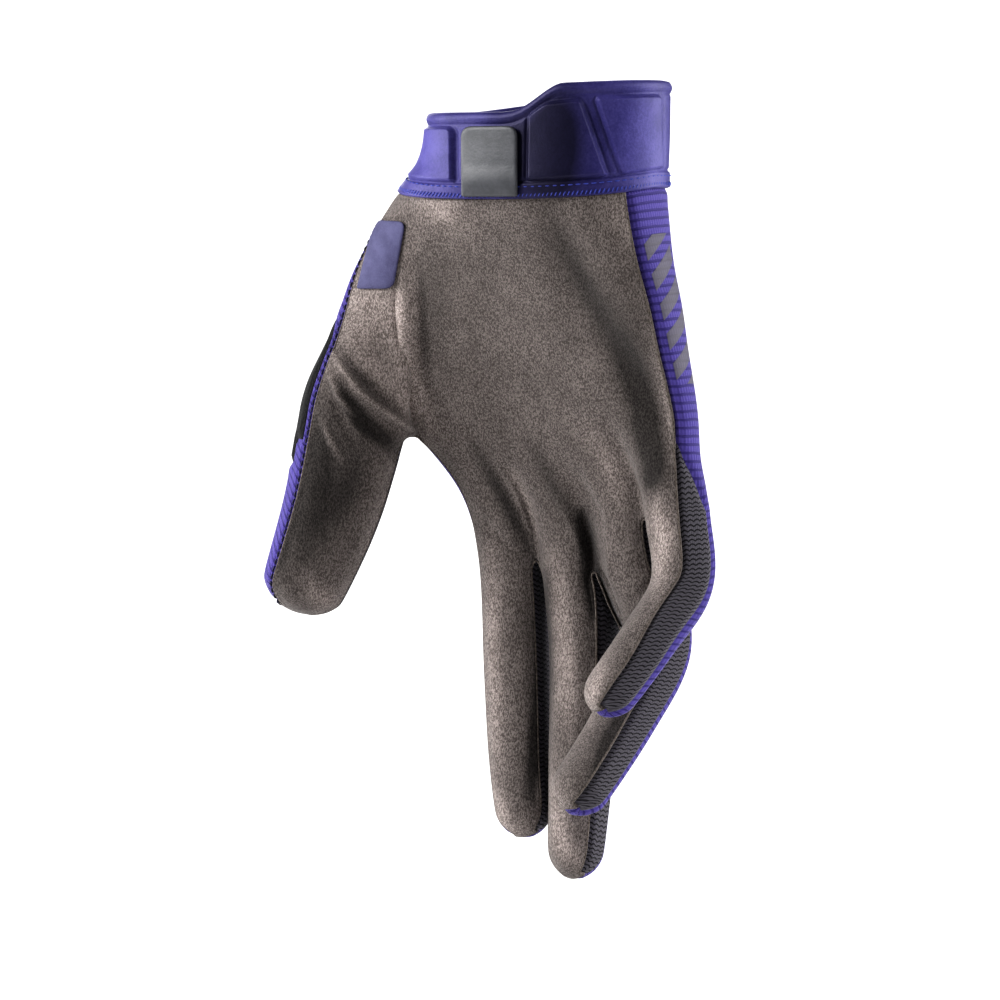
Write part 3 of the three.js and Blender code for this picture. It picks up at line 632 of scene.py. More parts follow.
def buildSurface():
    anchor = allColumns
    cuffRows = glove["cuffRows"]
    upper = Ring(cuffIds(-cuffRows), None, anchor)
    for row in range(-cuffRows, 0):
        ids = cuffIds(row + 1)
        lower = Ring(ids, alongFrom(upper, ids), anchor)
        joinRings(upper, lower, lambda q: "cuff")
        upper = lower
    upper = Ring(bodyIds(0), None, anchor)
    for row in range(upperRows):
        ids = bodyIds(row + 1)
        lower = Ring(ids, alongFrom(upper, ids), anchor)
        joinRings(upper, lower, bodyPanel(row, allColumns))
        upper = lower
    atThumb = upper
    alongOf = dict(zip(atThumb.ids, atThumb.along))
    web = [corner(("web", k), lambda: thumbWeb(k)) for k in range(1, sideColumns)]
    palmCorner, backCorner = cornerIds[("palm", upperRows, 0)], cornerIds[("back", upperRows, 0)]
    for k, id in enumerate(web):
        alongOf[id] = mix(alongOf[palmCorner], alongOf[backCorner], (k + 1) / sideColumns)

    def known(side, row, first=0):
        return lambda i: cornerIds[(side, row, first + i)]

    def ringAt(columns, palmId, ulnarId, backId, radialId, ringAnchor, anchorAt):
        ids = ringIds(columns, palmId, ulnarId, backId, radialId)
        return Ring(ids, np.array([alongOf[i] for i in ids]), ringAnchor, anchorAt)

    hand = ringAt(handColumns, known("palm", upperRows), known("ulnar", upperRows),
                  known("back", upperRows), lambda k: web[k - 1], handColumns, 0.0)
    backAt = atThumb.round[2 * allColumns + sideColumns - thumbColumns]
    thumb = ringAt(thumbColumns, known("palm", upperRows, -thumbColumns), lambda k: web[k - 1],
                   known("back", upperRows, -thumbColumns), known("radial", upperRows),
                   thumbColumns + sideColumns, backAt)
    upper = hand
    for row in range(upperRows, upperRows + lowerRows):
        ids = bodyIds(row + 1)
        lower = Ring(ids, alongFrom(upper, ids), handColumns)
        joinRings(upper, lower, bodyPanel(row, handColumns))
        upper = lower
    alongOf.update(zip(upper.ids, upper.along))
    roundOf = dict(zip(upper.ids, upper.round))
    lastRow = upperRows + lowerRows
    crotches = {}
    for digit in range(3):
        for k in range(1, sideColumns):
            id = corner(("crotch", digit, k), lambda: fingerWeb(digit, k))
            crotches[(digit, k)] = id
            column = (digit + 1) * fingerColumns
            alongOf[id] = mix(alongOf[cornerIds[("palm", lastRow, column)]],
                              alongOf[cornerIds[("back", lastRow, column)]], k / sideColumns)
    for digit, name in enumerate(["index", "middle", "ring", "little"]):
        start = digit * fingerColumns

        def crotch(side):
            return lambda k: crotches[(side, k)]

        ulnarId = known("ulnar", lastRow) if digit == 3 else crotch(digit)
        radialId = known("radial", lastRow) if digit == 0 else crotch(digit - 1)
        backStart = cornerIds[("back", lastRow, start + fingerColumns)]
        first = ringAt(fingerColumns, known("palm", lastRow, start), ulnarId,
                       known("back", lastRow, start), radialId,
                       fingerColumns + sideColumns, roundOf[backStart])
        starts = []
        for q in range(len(first.ids)):
            part, column = partOfRing(fingerColumns, q)
            if part == "palm":
                starts.append(partingLevel(start + column))
            elif part == "back":
                starts.append(partingLevel(start + fingerColumns - column))
            else:
                starts.append(partings[digit + 1 if part == "ulnar" else digit])

        def fingerPanel(r, q):
            part, column = partOfRing(fingerColumns, q)
            if part == "palm":
                return "palm_panel"
            if part == "back":
                return "back_panel"
            if part == "radial":
                return "back_panel" if digit == 0 else panelNames[3 + digit]
            opening = digit == 3 and r == 0 and column == sideColumns - 1
            return ["little_gusset", "back_panel"] if opening else panelNames[4 + digit]

        addDigit(name, digitTables[digit], fingerColumns, first, starts, digitEnds[digit],
                 digitTips[digit], glove["fingerRows"], fingerPanel)

    def thumbPanel(r, q):
        part, column = partOfRing(thumbColumns, q)
        if part == "palm":
            return "palm_panel"
        if part == "ulnar":
            return "thumb_gusset"
        wiped = part == "back" or column < min(glove["wipeReach"], 4 - r)
        return "thumb_wipe" if wiped and r < 3 else "back_panel"

    addDigit("thumb", thumbTable, thumbColumns, thumb, [thumbBase] * len(thumb.ids),
             ofLength(glove["thumbEnd"]), ofBreadth(glove["thumbTip"]), glove["thumbRows"], thumbPanel)


buildSurface()
faces = [ids[::-1] for ids in faces]
facePlaces = [places[::-1] for places in facePlaces]
print("surface:", len(corners), "corners", len(faces), "faces")


def makeMesh(name, points, polygons):
    mesh = bpy.data.meshes.new(name)
    mesh.from_pydata([tuple(p) for p in points], [], polygons)
    return mesh


def addObject(name, data):
    obj = bpy.data.objects.new(name, data)
    bpy.context.collection.objects.link(obj)
    return obj


def cageObject(points):
    mesh = makeMesh("cage", points, faces)
    mesh.polygons.foreach_set("material_index", facePanels)
    layer = mesh.uv_layers.new(name="cloth")
    flat = [v for places in facePlaces for place in places for v in place]
    layer.data.foreach_set("uv", flat)
    return addObject("cage", mesh)


def subdivided(obj, levels, limit=False):
    modifier = obj.modifiers.new("smooth", "SUBSURF")
    modifier.levels = levels
    modifier.use_limit_surface = limit
    modifier.uv_smooth = "PRESERVE_BOUNDARIES"
    modifier.boundary_smooth = "ALL"
    evaluated = obj.evaluated_get(bpy.context.evaluated_depsgraph_get())
    mesh = bpy.data.meshes.new_from_object(evaluated)
    obj.modifiers.remove(modifier)
    return mesh


def vectorsOf(items, name):
    flat = np.empty(len(items) * 3)
    items.foreach_get(name, flat)
    return flat.reshape(-1, 3)


def pointsOf(mesh):
    return vectorsOf(mesh.vertices, "co")


def normalsOf(mesh):
    return vectorsOf(mesh.vertex_normals, "vector")


def dropObject(obj):
    mesh = obj.data
    bpy.data.objects.remove(obj)
    bpy.data.meshes.remove(mesh)


# The cage is pushed out until its smooth surface passes through the measured corners.
target = np.array(corners)
shape = target.copy()
for step in range(3):
    trial = cageObject(shape)
    smoothMesh = subdivided(trial, 1, limit=True)
    shape = shape + (target - pointsOf(smoothMesh)[:len(target)])
    dropObject(trial)
    bpy.data.meshes.remove(smoothMesh)
cage = cageObject(shape)
halfMesh = subdivided(cage, glove["subdivisions"] - 1)
dropObject(cage)
halfObject = addObject("half", halfMesh)
fullMesh = subdivided(halfObject, 1)
bpy.data.objects.remove(halfObject)
fullPoints = pointsOf(fullMesh)
fullNormals = normalsOf(fullMesh)
print("smooth surface:", len(fullPoints), "points")


# Folds, and painted shade and light: bent lines in the view plane, read for many points at once.
def lineDistance(p, a, b):
    run = b - a
    t = np.clip(((p - a) @ run) / (run @ run), 0, 1)
    return np.linalg.norm(p - (a + t[:, None] * run), axis=1), t


def strokesAt(points, rows):
    p = np.stack([points @ viewSide, -points[:, 2]], axis=1)
    total = np.zeros(len(points))
    for row in rows:
        fold = dict(zip(foldColumns, row))
        line = [np.array([ofBreadth(fold["a%d" % i]), ofLength(fold["d%d" % i])]) for i in range(3)]
        firstOff, firstT = lineDistance(p, line[0], line[1])
        secondOff, secondT = lineDistance(p, line[1], line[2])
        onFirst = firstOff < secondOff
        off = np.where(onFirst, firstOff, secondOff)
        along = np.where(onFirst, firstT, 1 + secondT) / 2
        ends = 0.35 + 0.65 * np.sin(np.pi * along)  # a stroke is weaker at its ends
        total += fold["tall"] * ends * np.exp(-(off / ofBreadth(fold["wide"])) ** 2)
    return total


# Creases and hollows finer than the source's folds, in the same columns.
creases = [
    [-1.05, 12.6, 11.2, 25.2, 26, 34, 7.5, -2.3],
    [22, 31, 33, 36.2, 42, 43, 7, -2.2],
    [-75, 32, -67, 36.5, -48, 41.6, 0.85, 1.3],
    [-76.5, 34.2, -73.3, 37.4, -66.5, 40.2, 0.8, 1.2],
    [-79, 40.4, -76, 43, -72, 45.6, 0.9, 1.0],
    [-71, 37.4, -63, 41.2, -54, 44.4, 2.4, -2.0],
    [-75.5, 37, -72, 40.5, -67, 43.5, 1.6, -1.2],
    [-49.8, 22, -49, 31, -46.4, 40, 1.5, 1.1],
    [-72.3, 31.4, -66.5, 34.8, -59.5, 37.3, 0.8, -0.8],
    [-72, 31.5, -62, 35, -54, 38.6, 2.6, 1.2],
    [-48, 24.5, -47.5, 31, -45.5, 38, 1.5, 0.7],
    [-18, 45, -11.5, 49, -4, 56.5, 1.1, 0.7],
    [-24, 52.5, -15, 56.2, -6, 57.9, 1.0, -0.6],
    [2, 49, 9, 54, 16, 60, 1.8, 0.8],
    [10, 47, 17.5, 52, 21.5, 58, 1.6, -0.8],
    [19.5, 54, 22, 60, 21, 66, 1.1, 0.7],
    [12.5, 52.5, 14.5, 56.5, 16, 60.5, 1.5, -2.2],
    [-55, 19, -51.5, 29, -46.5, 40.5, 7, 3.0],
    [-50.6, 30, -49.8, 35.5, -48.2, 40.5, 2.2, 1.0],
    [33, 38.6, 38, 40.2, 42, 40.8, 0.7, -0.35],
    [35, 41.4, 39, 42.2, 43, 42, 0.7, -0.3],
    [30, 52.6, 34, 53.4, 38, 53, 0.7, -0.3],
    [24, 63, 30, 61.6, 36, 59.6, 2.0, 0.6],
]


# Painted shade on the suede, and painted light where the value is below zero, in the same columns.
paintedShadeStrokes = [
    [0, 14, 14, 24, 28, 34, 5, 0.3],
    [27, 31, 34, 39, 36, 47, 6, 0.42],
    [20, 24, 27, 28, 33, 34, 6, 0.12],
    [34, 41, 37.5, 46, 34, 51.5, 3.4, 0.35],
    [30, 13, 38, 26, 45, 45, 2.6, -0.5],
    [22, 12, 27, 15, 31, 19, 5, -0.3],
    [14, 42, 23, 46, 27, 51, 4.5, -0.35],
    [-80, 38, -81, 48, -88, 60, 8, 0.42],
    [-73.5, 36.2, -64.5, 40.6, -51, 44.6, 2.8, 0.55],
    [-67, 31.2, -59, 34.6, -49, 38.4, 3.4, -0.5],
    [-46.5, 22, -46, 27, -45, 32, 2.0, -0.3],
    [-66, 42, -68, 48, -75, 54, 5, 0.25],
    [-87, 43, -91, 52, -95, 61, 2.6, 0.3],
    [-85, 60.5, -79, 63, -73, 63, 4, -0.45],
    [-52, 43.5, -57, 52, -70, 64, 4.4, -0.35],
    [-75, 32, -67, 36.5, -48, 41.6, 0.9, -0.5],
    [-72.5, 30.8, -66.5, 34.4, -60, 36.8, 0.8, 0.35],
    [-76.5, 34.2, -73.3, 37.4, -66.5, 40.2, 0.8, -0.5],
    [-79, 40.4, -76, 43, -72, 45.6, 0.9, -0.4],
    [-60, 22, -64, 28, -69, 31.5, 12, -0.6],
    [-52, 25, -51, 32, -47.6, 40, 4.2, -0.75],
    [-46, 34, -44, 39, -39, 43, 4, -0.45],
    [-45, 20, -44.4, 28, -43, 35, 2.2, 0.3],
    [-41, 19, -40, 28, -38.5, 34, 5, 0.12],
    [-25, 44, -15, 50.5, -5, 57.5, 3, 0.34],
    [-12, 47, -8, 51, -4, 55, 2.4, -0.3],
    [-6, 43, 1, 48, 10, 54, 3, 0.22],
    [12, 52, 14.5, 58, 17, 65, 2.8, 0.8],
    [-1, 60, -1.6, 74, -6, 88, 2.8, 0.7],
    [33, 74, 22, 80.5, 15, 87, 3.6, 0.5],
    [22, 83, 20, 88, 16, 93, 3, 0.3],
    [36, 50, 41, 55, 38, 62, 4, -0.6],
    [-46, 12, -38, 13.4, -30, 15, 6, -0.5],
    [-20, 56, -19, 70, -18, 84, 3.2, -0.36],
    [-20, 86, -15, 92, -8, 92, 3.6, -0.5],
    [3, 58, 6, 70, 8, 80, 4, -0.4],
    [1, 86, 5, 94, 12, 97, 3.6, -0.5],
    [20, 70, 16, 74, 14, 78, 3, -0.5],
]


facing = smoothAll(fullNormals @ viewFront / 0.5)  # the strokes fade out on cloth that turns away
rises = ofBreadth(strokesAt(fullPoints, folds) + strokesAt(fullPoints, creases))
fullPoints = fullPoints + fullNormals * (facing * rises)[:, None]

# The mesh between the middle and ring fingers stands out into the gap.
gapBulge = dict(up=-138, reach=13, tall=2.6)
gapFull = np.zeros(len(fullPoints), bool)
gapPanel = panelNames.index("middle_ring_gusset")
for face in fullMesh.polygons:
    if face.material_index == gapPanel:
        gapFull[list(face.vertices)] = True
bulge = np.exp(-((fullPoints[:, 2] - gapBulge["up"]) / gapBulge["reach"]) ** 2) * gapBulge["tall"]
fullPoints = fullPoints + fullNormals * (bulge * gapFull)[:, None]


# The faces of a mesh, the panel of each, and its places on the cloth.
def readMesh(mesh):
    flat = np.empty(len(mesh.loops) * 2)
    mesh.uv_layers["cloth"].data.foreach_get("uv", flat)
    flat = flat.reshape(-1, 2)
    ids = [list(p.vertices) for p in mesh.polygons]
    places = [flat[p.loop_start:p.loop_start + len(p.vertices)] for p in mesh.polygons]
    return ids, [p.material_index for p in mesh.polygons], places


fullFaces, fullPanels, fullPlaces = readMesh(fullMesh)
halfFaces, halfPanels, halfPlaces = readMesh(halfMesh)
halfCount = len(halfMesh.vertices)
halfEdges = {frozenset(e.vertices): halfCount + e.index for e in halfMesh.edges}


def edgesOnce(polygons):
    edges = {}
    for polygon in polygons:
        for i, a in enumerate(polygon):
            edges[(a, polygon[(i + 1) % len(polygon)])] = polygon
    return [edge for edge in edges if (edge[1], edge[0]) not in edges]


def treeOf(points):
    tree = KDTree(len(points))
    for i, p in enumerate(points):
        tree.insert(Vector(p), i)
    tree.balance()
    return tree


# Each cloth: how thick it is, its height at the seams, the height and place of its lip, how far
# it rounds over, and how far its edge stands back.
panelLooks = {
    "palm_panel": dict(wall=1.3, edge=-0.25, lip=0.28, lipAt=0.9, round=0.8, retreat=0.1),
    "back_panel": dict(wall=1.2, edge=-0.75, lip=0.12, lipAt=2.2, round=1.3, retreat=-0.12),
    "thumb_wipe": dict(wall=1.2, edge=-0.6, lip=0.2, lipAt=1.6, round=1.0, retreat=-0.12),
    "thumb_gusset": dict(wall=1.1, edge=-0.7, lip=0.05, lipAt=1.8, round=1.1, retreat=-0.12),
    "gusset": dict(wall=1.1, edge=-0.7, lip=0.05, lipAt=1.8, round=1.1, retreat=-0.12),
}


lipSpread = 0.7  # width of the lip as a share of its place


def seamRise(look, off):
    return (look["edge"] * np.exp(-(off / look["round"]) ** 2)
            + look["lip"] * np.exp(-((off - look["lipAt"]) / (lipSpread * look["lipAt"])) ** 2))


def panelPiece(name):
    panel = panelNames.index(name)
    look = panelLooks.get(name, panelLooks["gusset"])
    outer = [i for i, p in enumerate(fullPanels) if p == panel]
    inner = [i for i, p in enumerate(halfPanels) if p == panel]
    used = sorted({v for i in outer for v in fullFaces[i]})
    at = {v: k for k, v in enumerate(used)}
    rim = edgesOnce([fullFaces[i] for i in outer])
    rimPoints = [mix(fullPoints[a], fullPoints[b], t) for a, b in rim for t in (0, 0.25, 0.5, 0.75)]
    tree = treeOf(rimPoints)
    off = np.array([tree.find(Vector(fullPoints[v]))[2] for v in used])
    outerPoints = fullPoints[used] + fullNormals[used] * seamRise(look, off)[:, None]
    inward = {}
    for a, b in rim:
        run = unit(fullPoints[b] - fullPoints[a])
        for v in (a, b):
            inward[v] = inward.get(v, 0) + np.cross(fullNormals[v], run)
    for v, side in inward.items():
        outerPoints[at[v]] += unit(side) * look["retreat"]
    innerUsed = sorted({v for i in inner for v in halfFaces[i]})
    innerAt = {v: len(used) + k for k, v in enumerate(innerUsed)}
    innerPoints = fullPoints[innerUsed] - fullNormals[innerUsed] * look["wall"]
    for v in innerUsed:
        if v in inward:
            innerPoints[innerAt[v] - len(used)] += unit(inward[v]) * look["retreat"]
    polygons = [[at[v] for v in fullFaces[i]] for i in outer]
    uvs = [place for i in outer for place in fullPlaces[i]]
    uvOf = {}
    for i in inner:
        polygons.append([innerAt[v] for v in reversed(halfFaces[i])])
        uvs += list(halfPlaces[i][::-1])
        uvOf.update(zip(halfFaces[i], halfPlaces[i]))
    for a, b in edgesOnce([halfFaces[i] for i in inner]):
        m = halfEdges[frozenset((a, b))]
        polygons.append([at[b], at[m], at[a], innerAt[a], innerAt[b]])
        uvs += [uvOf[b], (uvOf[a] + uvOf[b]) / 2, uvOf[a], uvOf[a], uvOf[b]]
    return addPiece(name, np.concatenate([outerPoints, innerPoints]), polygons, uvs)


def addPiece(name, points, polygons, uvs=None):
    mesh = makeMesh(name, np.asarray(points) / 1000, polygons)
    if uvs is not None:
        layer = mesh.uv_layers.new(name="cloth")
        layer.data.foreach_set("uv", [float(v) for uv in uvs for v in uv])
    mesh.polygons.foreach_set("use_smooth", [True] * len(mesh.polygons))
    mesh.validate()
    return addObject(name + "_cloth", mesh)


pieces = {}
for name in panelNames[:-1]:
    pieces[name] = panelPiece(name)
    print("piece", name, len(pieces[name].data.polygons))


# Stores on a piece painted shade and painted light, from strokes in the view plane.
def layPaintedShade(mesh, rows):
    layer = mesh.attributes.new("nap", "FLOAT", "POINT")
    layer.data.foreach_set("value", strokesAt(pointsOf(mesh) * 1000, rows))


palmCloth = pieces["palm_panel"].data
# Painted shade and painted light on the palm's suede.
layPaintedShade(palmCloth, paintedShadeStrokes)


# The cuff: a closed band of smooth foam cloth with a hem, raised pads and a stitched lower band.
cuff = dict(wall=2.4, proud=0.6, perStep=16, downSteps=84, innerSteps=14, grooveWide=0.45,
            hemTall=0.35, hemWide=1.7, hemAt=0.9, hemGrooveAt=2.6, hemGroove=0.3, hemClear=2.2,
            bandWide=4.6, bandTall=0.35, bandEdge=0.7, bandGroove=0.4, bandClear=1.2,
            padTall=1.35, padEdge=1.1, padGroove=0.35, padGrooveOut=0.55,
            waveTall=0.12, waves=5, rowUv=1.5)
# Each pad: its corners across and down in shares, and how round each corner is.
padOutlines = [
    dict(points=[[-44, 3.4], [-32.2, 3.4], [-32.2, 11], [-50, 11]], radius=[1, 3, 3, 1]),
    dict(points=[[-6.2, 0.7], [11.6, 0], [21.4, 10.4], [-6.8, 10.9]], radius=[3, 2, 2, 3]),
    dict(points=[[16.4, -0.2], [38.6, -0.6], [39.4, 9.9], [26, 10.1]], radius=[2, 2, 2, 2]),
]
tab = dict(points=[[-29.6, 3.4], [-10.2, 3.4], [-10.2, 12.2], [-29.6, 12.2]], radius=[4, 4, 1, 1],
           thick=0.9, gap=0.45, rings=16)
patch = dict(points=[[-60.2, 15.2], [-49.4, 15.3], [-54, 23.7], [-66.6, 23.8]], radius=[1, 3, 3, 1],
             thick=0.6, gap=0.25, rings=16)


def roundedOutline(points, radius, cornerSteps=8):
    at = [np.array([ofBreadth(a), ofLength(d)]) for a, d in points]
    line = []
    for i, p in enumerate(at):
        before, after = at[i - 1], at[(i + 1) % len(at)]
        cut = ofBreadth(radius[i])
        start = p + unit(before - p) * cut
        stop = p + unit(after - p) * cut
        for k in range(cornerSteps + 1):
            t = k / cornerSteps
            line.append(start * (1 - t) ** 2 + p * 2 * t * (1 - t) + stop * t * t)
    return np.array(line)


# Distance inside an outline for many points; negative outside.
def insideOf(outline, p):
    inside = np.zeros(len(p), bool)
    off = np.full(len(p), 1e9)
    for a, b in zip(outline, np.roll(outline, -1, axis=0)):
        off = np.minimum(off, lineDistance(p, a, b)[0])
        crosses = (a[1] > p[:, 1]) != (b[1] > p[:, 1])
        with np.errstate(divide="ignore", invalid="ignore"):
            x = (b[0] - a[0]) * (p[:, 1] - a[1]) / (b[1] - a[1]) + a[0]
        inside ^= crosses & (p[:, 0] < x)
    return np.where(inside, off, -off)


# Angles round the cuff, evenly between the corners of the hand's first ring.
def cuffAngles():
    ringSize = len(bodyIds(0))
    around = np.unwrap([cuffAngle(q) for q in range(ringSize)])
    around = np.append(around, around[0] - 2 * math.pi)
    step = cuff["perStep"]
    return np.interp(np.arange(ringSize * step) / step, np.arange(ringSize + 1), around)


def outwardNormals(first, second, points):
    normal = np.cross(first, second)
    normal /= np.linalg.norm(normal, axis=-1, keepdims=True)
    centre = points.reshape(-1, 3).mean(axis=0)
    return normal if np.sum(normal * (points - centre)) > 0 else -normal


# Four-sided faces between pairs of rings, each ring closed on itself.
def bandFaces(pairs, size, start=0):
    faces = []
    for a, b in pairs:
        for q in range(size):
            n = (q + 1) % size
            faces.append([start + a * size + q, start + b * size + q,
                          start + b * size + n, start + a * size + n])
    return faces


# A ridge, or with a minus a groove, beside a line.
def bead(off, wide, tall):
    return tall * np.exp(-(off / wide) ** 2)


# Rounds an edge of the cuff over from its outer face to its inner one.
def roundedEdge(edge, normal, tangent, height, turns, reach):
    low = -cuff["wall"]
    rings = []
    for turn in turns:
        angle = math.pi * turn
        lift = low + (height - low) * (0.5 + 0.5 * math.cos(angle))
        rings.append(edge + normal * lift[:, None] + tangent * reach * math.sin(angle))
    return rings


def cuffPiece():
    angles = cuffAngles()
    rows = cuff["downSteps"] + 1
    grid = np.array([[palmPoint(mix(cuffTop(a), wristDown(a), s), a) for a in angles]
                     for s in np.linspace(0, 1, rows)])
    sideways = np.roll(grid, -1, axis=1) - np.roll(grid, 1, axis=1)
    downward = np.gradient(grid, axis=0)
    normal = outwardNormals(downward, sideways, grid)
    along = np.concatenate([np.zeros((1, len(angles))),
                            np.cumsum(np.linalg.norm(np.diff(grid, axis=0), axis=2), axis=0)])
    toEnd = along[-1] - along
    flat = grid.reshape(-1, 3)
    front = smoothAll(normal.reshape(-1, 3) @ viewFront / 0.25)
    view = np.stack([flat @ viewSide, -flat[:, 2]], axis=1)
    rise = np.zeros(len(flat))
    for outline in padOutlines:
        inside = insideOf(roundedOutline(outline["points"], outline["radius"]), view)
        pad = smoothAll(inside / cuff["padEdge"] + 0.2) * cuff["padTall"]
        rise = np.where(pad > 0.02, np.maximum(rise, pad), rise)
        rise = rise - bead(inside + cuff["padGrooveOut"], cuff["grooveWide"], cuff["padGroove"])
    rise = (rise * front).reshape(grid.shape[:2])
    onPads = smoothAll((toEnd - cuff["bandWide"]) / cuff["bandClear"])
    onPads = onPads * smoothAll((along - cuff["hemClear"]) / 1.5)
    hem = bead(along - cuff["hemAt"], cuff["hemWide"] / 2, cuff["hemTall"])
    hem = hem - bead(along - cuff["hemGrooveAt"], cuff["grooveWide"], cuff["hemGroove"])
    band = smoothAll((cuff["bandWide"] - toEnd) / cuff["bandEdge"]) * cuff["bandTall"]
    band = band - bead(toEnd - cuff["bandWide"] - 0.2, cuff["grooveWide"], cuff["bandGroove"])
    wave = np.sin(np.unwrap(angles) * cuff["waves"] + 1)[None, :]
    wave = cuff["waveTall"] * wave * smoothAll(along / 6)
    height = cuff["proud"] + rise * onPads + hem + band + wave
    shell = grid + normal * (cuff["proud"] + cuff["bandTall"])
    tangent = downward / np.linalg.norm(downward, axis=2, keepdims=True)
    innerRows = np.linspace(rows - 1, 0, cuff["innerSteps"]).round().astype(int)
    sections = list(grid + normal * height[..., None])
    sections += roundedEdge(grid[-1], normal[-1], tangent[-1], height[-1], (1 / 3, 2 / 3), 0.35)
    sections += [grid[j] - normal[j] * cuff["wall"] for j in innerRows]
    sections += roundedEdge(grid[0], normal[0], tangent[0], height[0], (0.75, 0.5, 0.25), -0.9)
    points = np.concatenate(sections)
    count, size = len(sections), len(angles)
    acrossArc = np.concatenate([[0], np.cumsum(np.linalg.norm(np.diff(grid[0], axis=0), axis=1))])
    arcStep = acrossArc[-1] / (size - 1)
    downArc = [along[j].mean() for j in range(rows)]
    while len(downArc) < count + 1:
        downArc.append(downArc[-1] + cuff["rowUv"])
    polygons = bandFaces([(j, (j + 1) % count) for j in range(count)], size)
    uvs = []
    for top, low in zip(downArc, downArc[1:]):
        for i in range(size):
            left, right = i * arcStep, (i + 1) * arcStep
            uvs += [(left, top), (left, low), (right, low), (right, top)]
    a, b, c = points[polygons[0][0]], points[polygons[0][1]], points[polygons[0][3]]
    if np.dot(np.cross(b - a, c - a), normal[0][0]) < 0:
        polygons = [p[::-1] for p in polygons]
        uvs = [uv for i in range(0, len(uvs), 4) for uv in uvs[i:i + 4][::-1]]
    shellFaces = [polygon for polygon in polygons if max(polygon) < rows * size]
    return addPiece("cuff", points, polygons, uvs), (shell.reshape(-1, 3), shellFaces)


pieces["cuff"], cuffShell = cuffPiece()
# Painted shade over the cuff's middle, and painted light on its side pads where the value is below zero,
# in the fold columns.
cuffPaintedShade = [
    [3, -1, 2, 6, 1, 14, 10, 1.0],
    [-13, 1, -12, 6, -12, 14, 7, 0.45],
    [-44, 3, -44, 7, -46, 12, 7, -0.45],
    [30, -1, 32, 5, 34, 12, 8, -0.5],
]
layPaintedShade(pieces["cuff"].data, cuffPaintedShade)
print("piece cuff", len(pieces["cuff"].data.polygons))


# Where a line of sight square to the viewing side meets a piece.
class Front:
    def __init__(self, points, polygons):
        self.tree = BVHTree.FromPolygons([Vector(p) for p in points], polygons)

    def at(self, across, down):
        start = Vector(viewSide) * across + Vector((0, 0, -down)) + Vector(viewFront) * 200
        spot, normal = self.tree.ray_cast(start, -Vector(viewFront))[:2]
        return None if spot is None else (np.array(spot), np.array(normal))

    # Carries on over the side of the piece from the last spot that was seen.
    def past(self, last, shift):
        run = viewSide * shift[0] - np.array([0, 0, shift[1]])
        run -= last[1] * np.dot(run, last[1])
        spot, normal = self.tree.find_nearest(Vector(last[0] + run))[:2]
        return np.array(spot), np.array(normal)


# A thin closed piece with a round edge that lies on a surface, drawn by its outline.
def laidPiece(name, look, front, crown=0.0):
    outline = roundedOutline(look["points"], look["radius"], 10)
    dense = []
    for a, b in zip(outline, np.roll(outline, -1, axis=0)):
        steps = max(1, int(np.linalg.norm(b - a) / 0.7))
        dense += [mix(a, b, t) for t in np.arange(steps) / steps]
    outline = np.array(dense)
    centre = outline.mean(axis=0)
    size = np.linalg.norm(outline - centre, axis=1).min()
    rings = []
    thick = look["thick"]
    edge = 0.45 / size  # how far in the round edge reaches, as a share
    for share, lift in [(1 - edge * 0.4, 0.0), (1, 0.3), (1, 0.62), (1 - edge * 0.35, 0.9)]:
        rings.append((share, look["gap"] + thick * lift))
    for share in np.linspace(1 - edge, 0.04, look["rings"]):
        rings.append((share, look["gap"] + thick + crown * (1 - share ** 2)))
    for share in np.linspace(0.04, 1 - edge * 1.5, 6):
        rings.append((share, look["gap"]))
    shares = sorted({share for share, lift in rings})
    spots = {}
    for q, rim in enumerate(outline):
        last = front.at(*centre)
        before = centre
        for share in shares:
            here = centre + (rim - centre) * share
            last = front.at(*here) or front.past(last, here - before)
            before = here
            spots[(q, share)] = last
    points = []
    for share, lift in rings:
        for q in range(len(outline)):
            spot, normal = spots[(q, share)]
            points.append(spot + normal * lift)
    n = len(outline)
    top = 4 + look["rings"] - 1
    pairs = [((r + 1) % len(rings), r) for r in range(len(rings)) if r != top]
    polygons = [face[1:] + face[:1] for face in bandFaces(pairs, n)]
    polygons.append([top * n + q for q in range(n)])
    polygons.append([(top + 1) * n + q for q in reversed(range(n))])
    piece = addPiece(name, points, polygons)
    normals = normalsOf(piece.data)
    if np.mean(normals[4 * n:5 * n] @ viewFront) < 0:
        piece.data.flip_normals()
    return piece


onCuff = Front(*cuffShell)
onPalm = Front(pointsOf(palmCloth) * 1000, [list(p.vertices) for p in palmCloth.polygons])
pieces["cuff_tab"] = laidPiece("cuff_tab", tab, onCuff, 0.15)
pieces["thumb_patch"] = laidPiece("thumb_patch", patch, onPalm, 0.1)
print("tab and patch laid")


# Edges of a panel as ordered closed loops of mesh points.
def rimLoops(polygons):
    after = dict(edgesOnce(polygons))
    loops = []
    while after:
        start = next(iter(after))
        loop = [start]
        while loop[-1] in after:
            loop.append(after.pop(loop[-1]))
            if loop[-1] == start:
                loop.pop()
                break
        loops.append(loop)
    return loops


def evened(vectors):
    return vectors / np.linalg.norm(vectors, axis=1, keepdims=True)


# How far each point of a closed line lies along it, and at the end its whole length.
def placesOn(line):
    return np.concatenate([[0], np.cumsum(np.linalg.norm(np.roll(line, -1, axis=0) - line, axis=1))])


def readAt(at, place, values):
    closed = np.concatenate([values, values[:1]])
    return np.stack([np.interp(at, place, closed[:, k]) for k in range(3)], axis=-1)


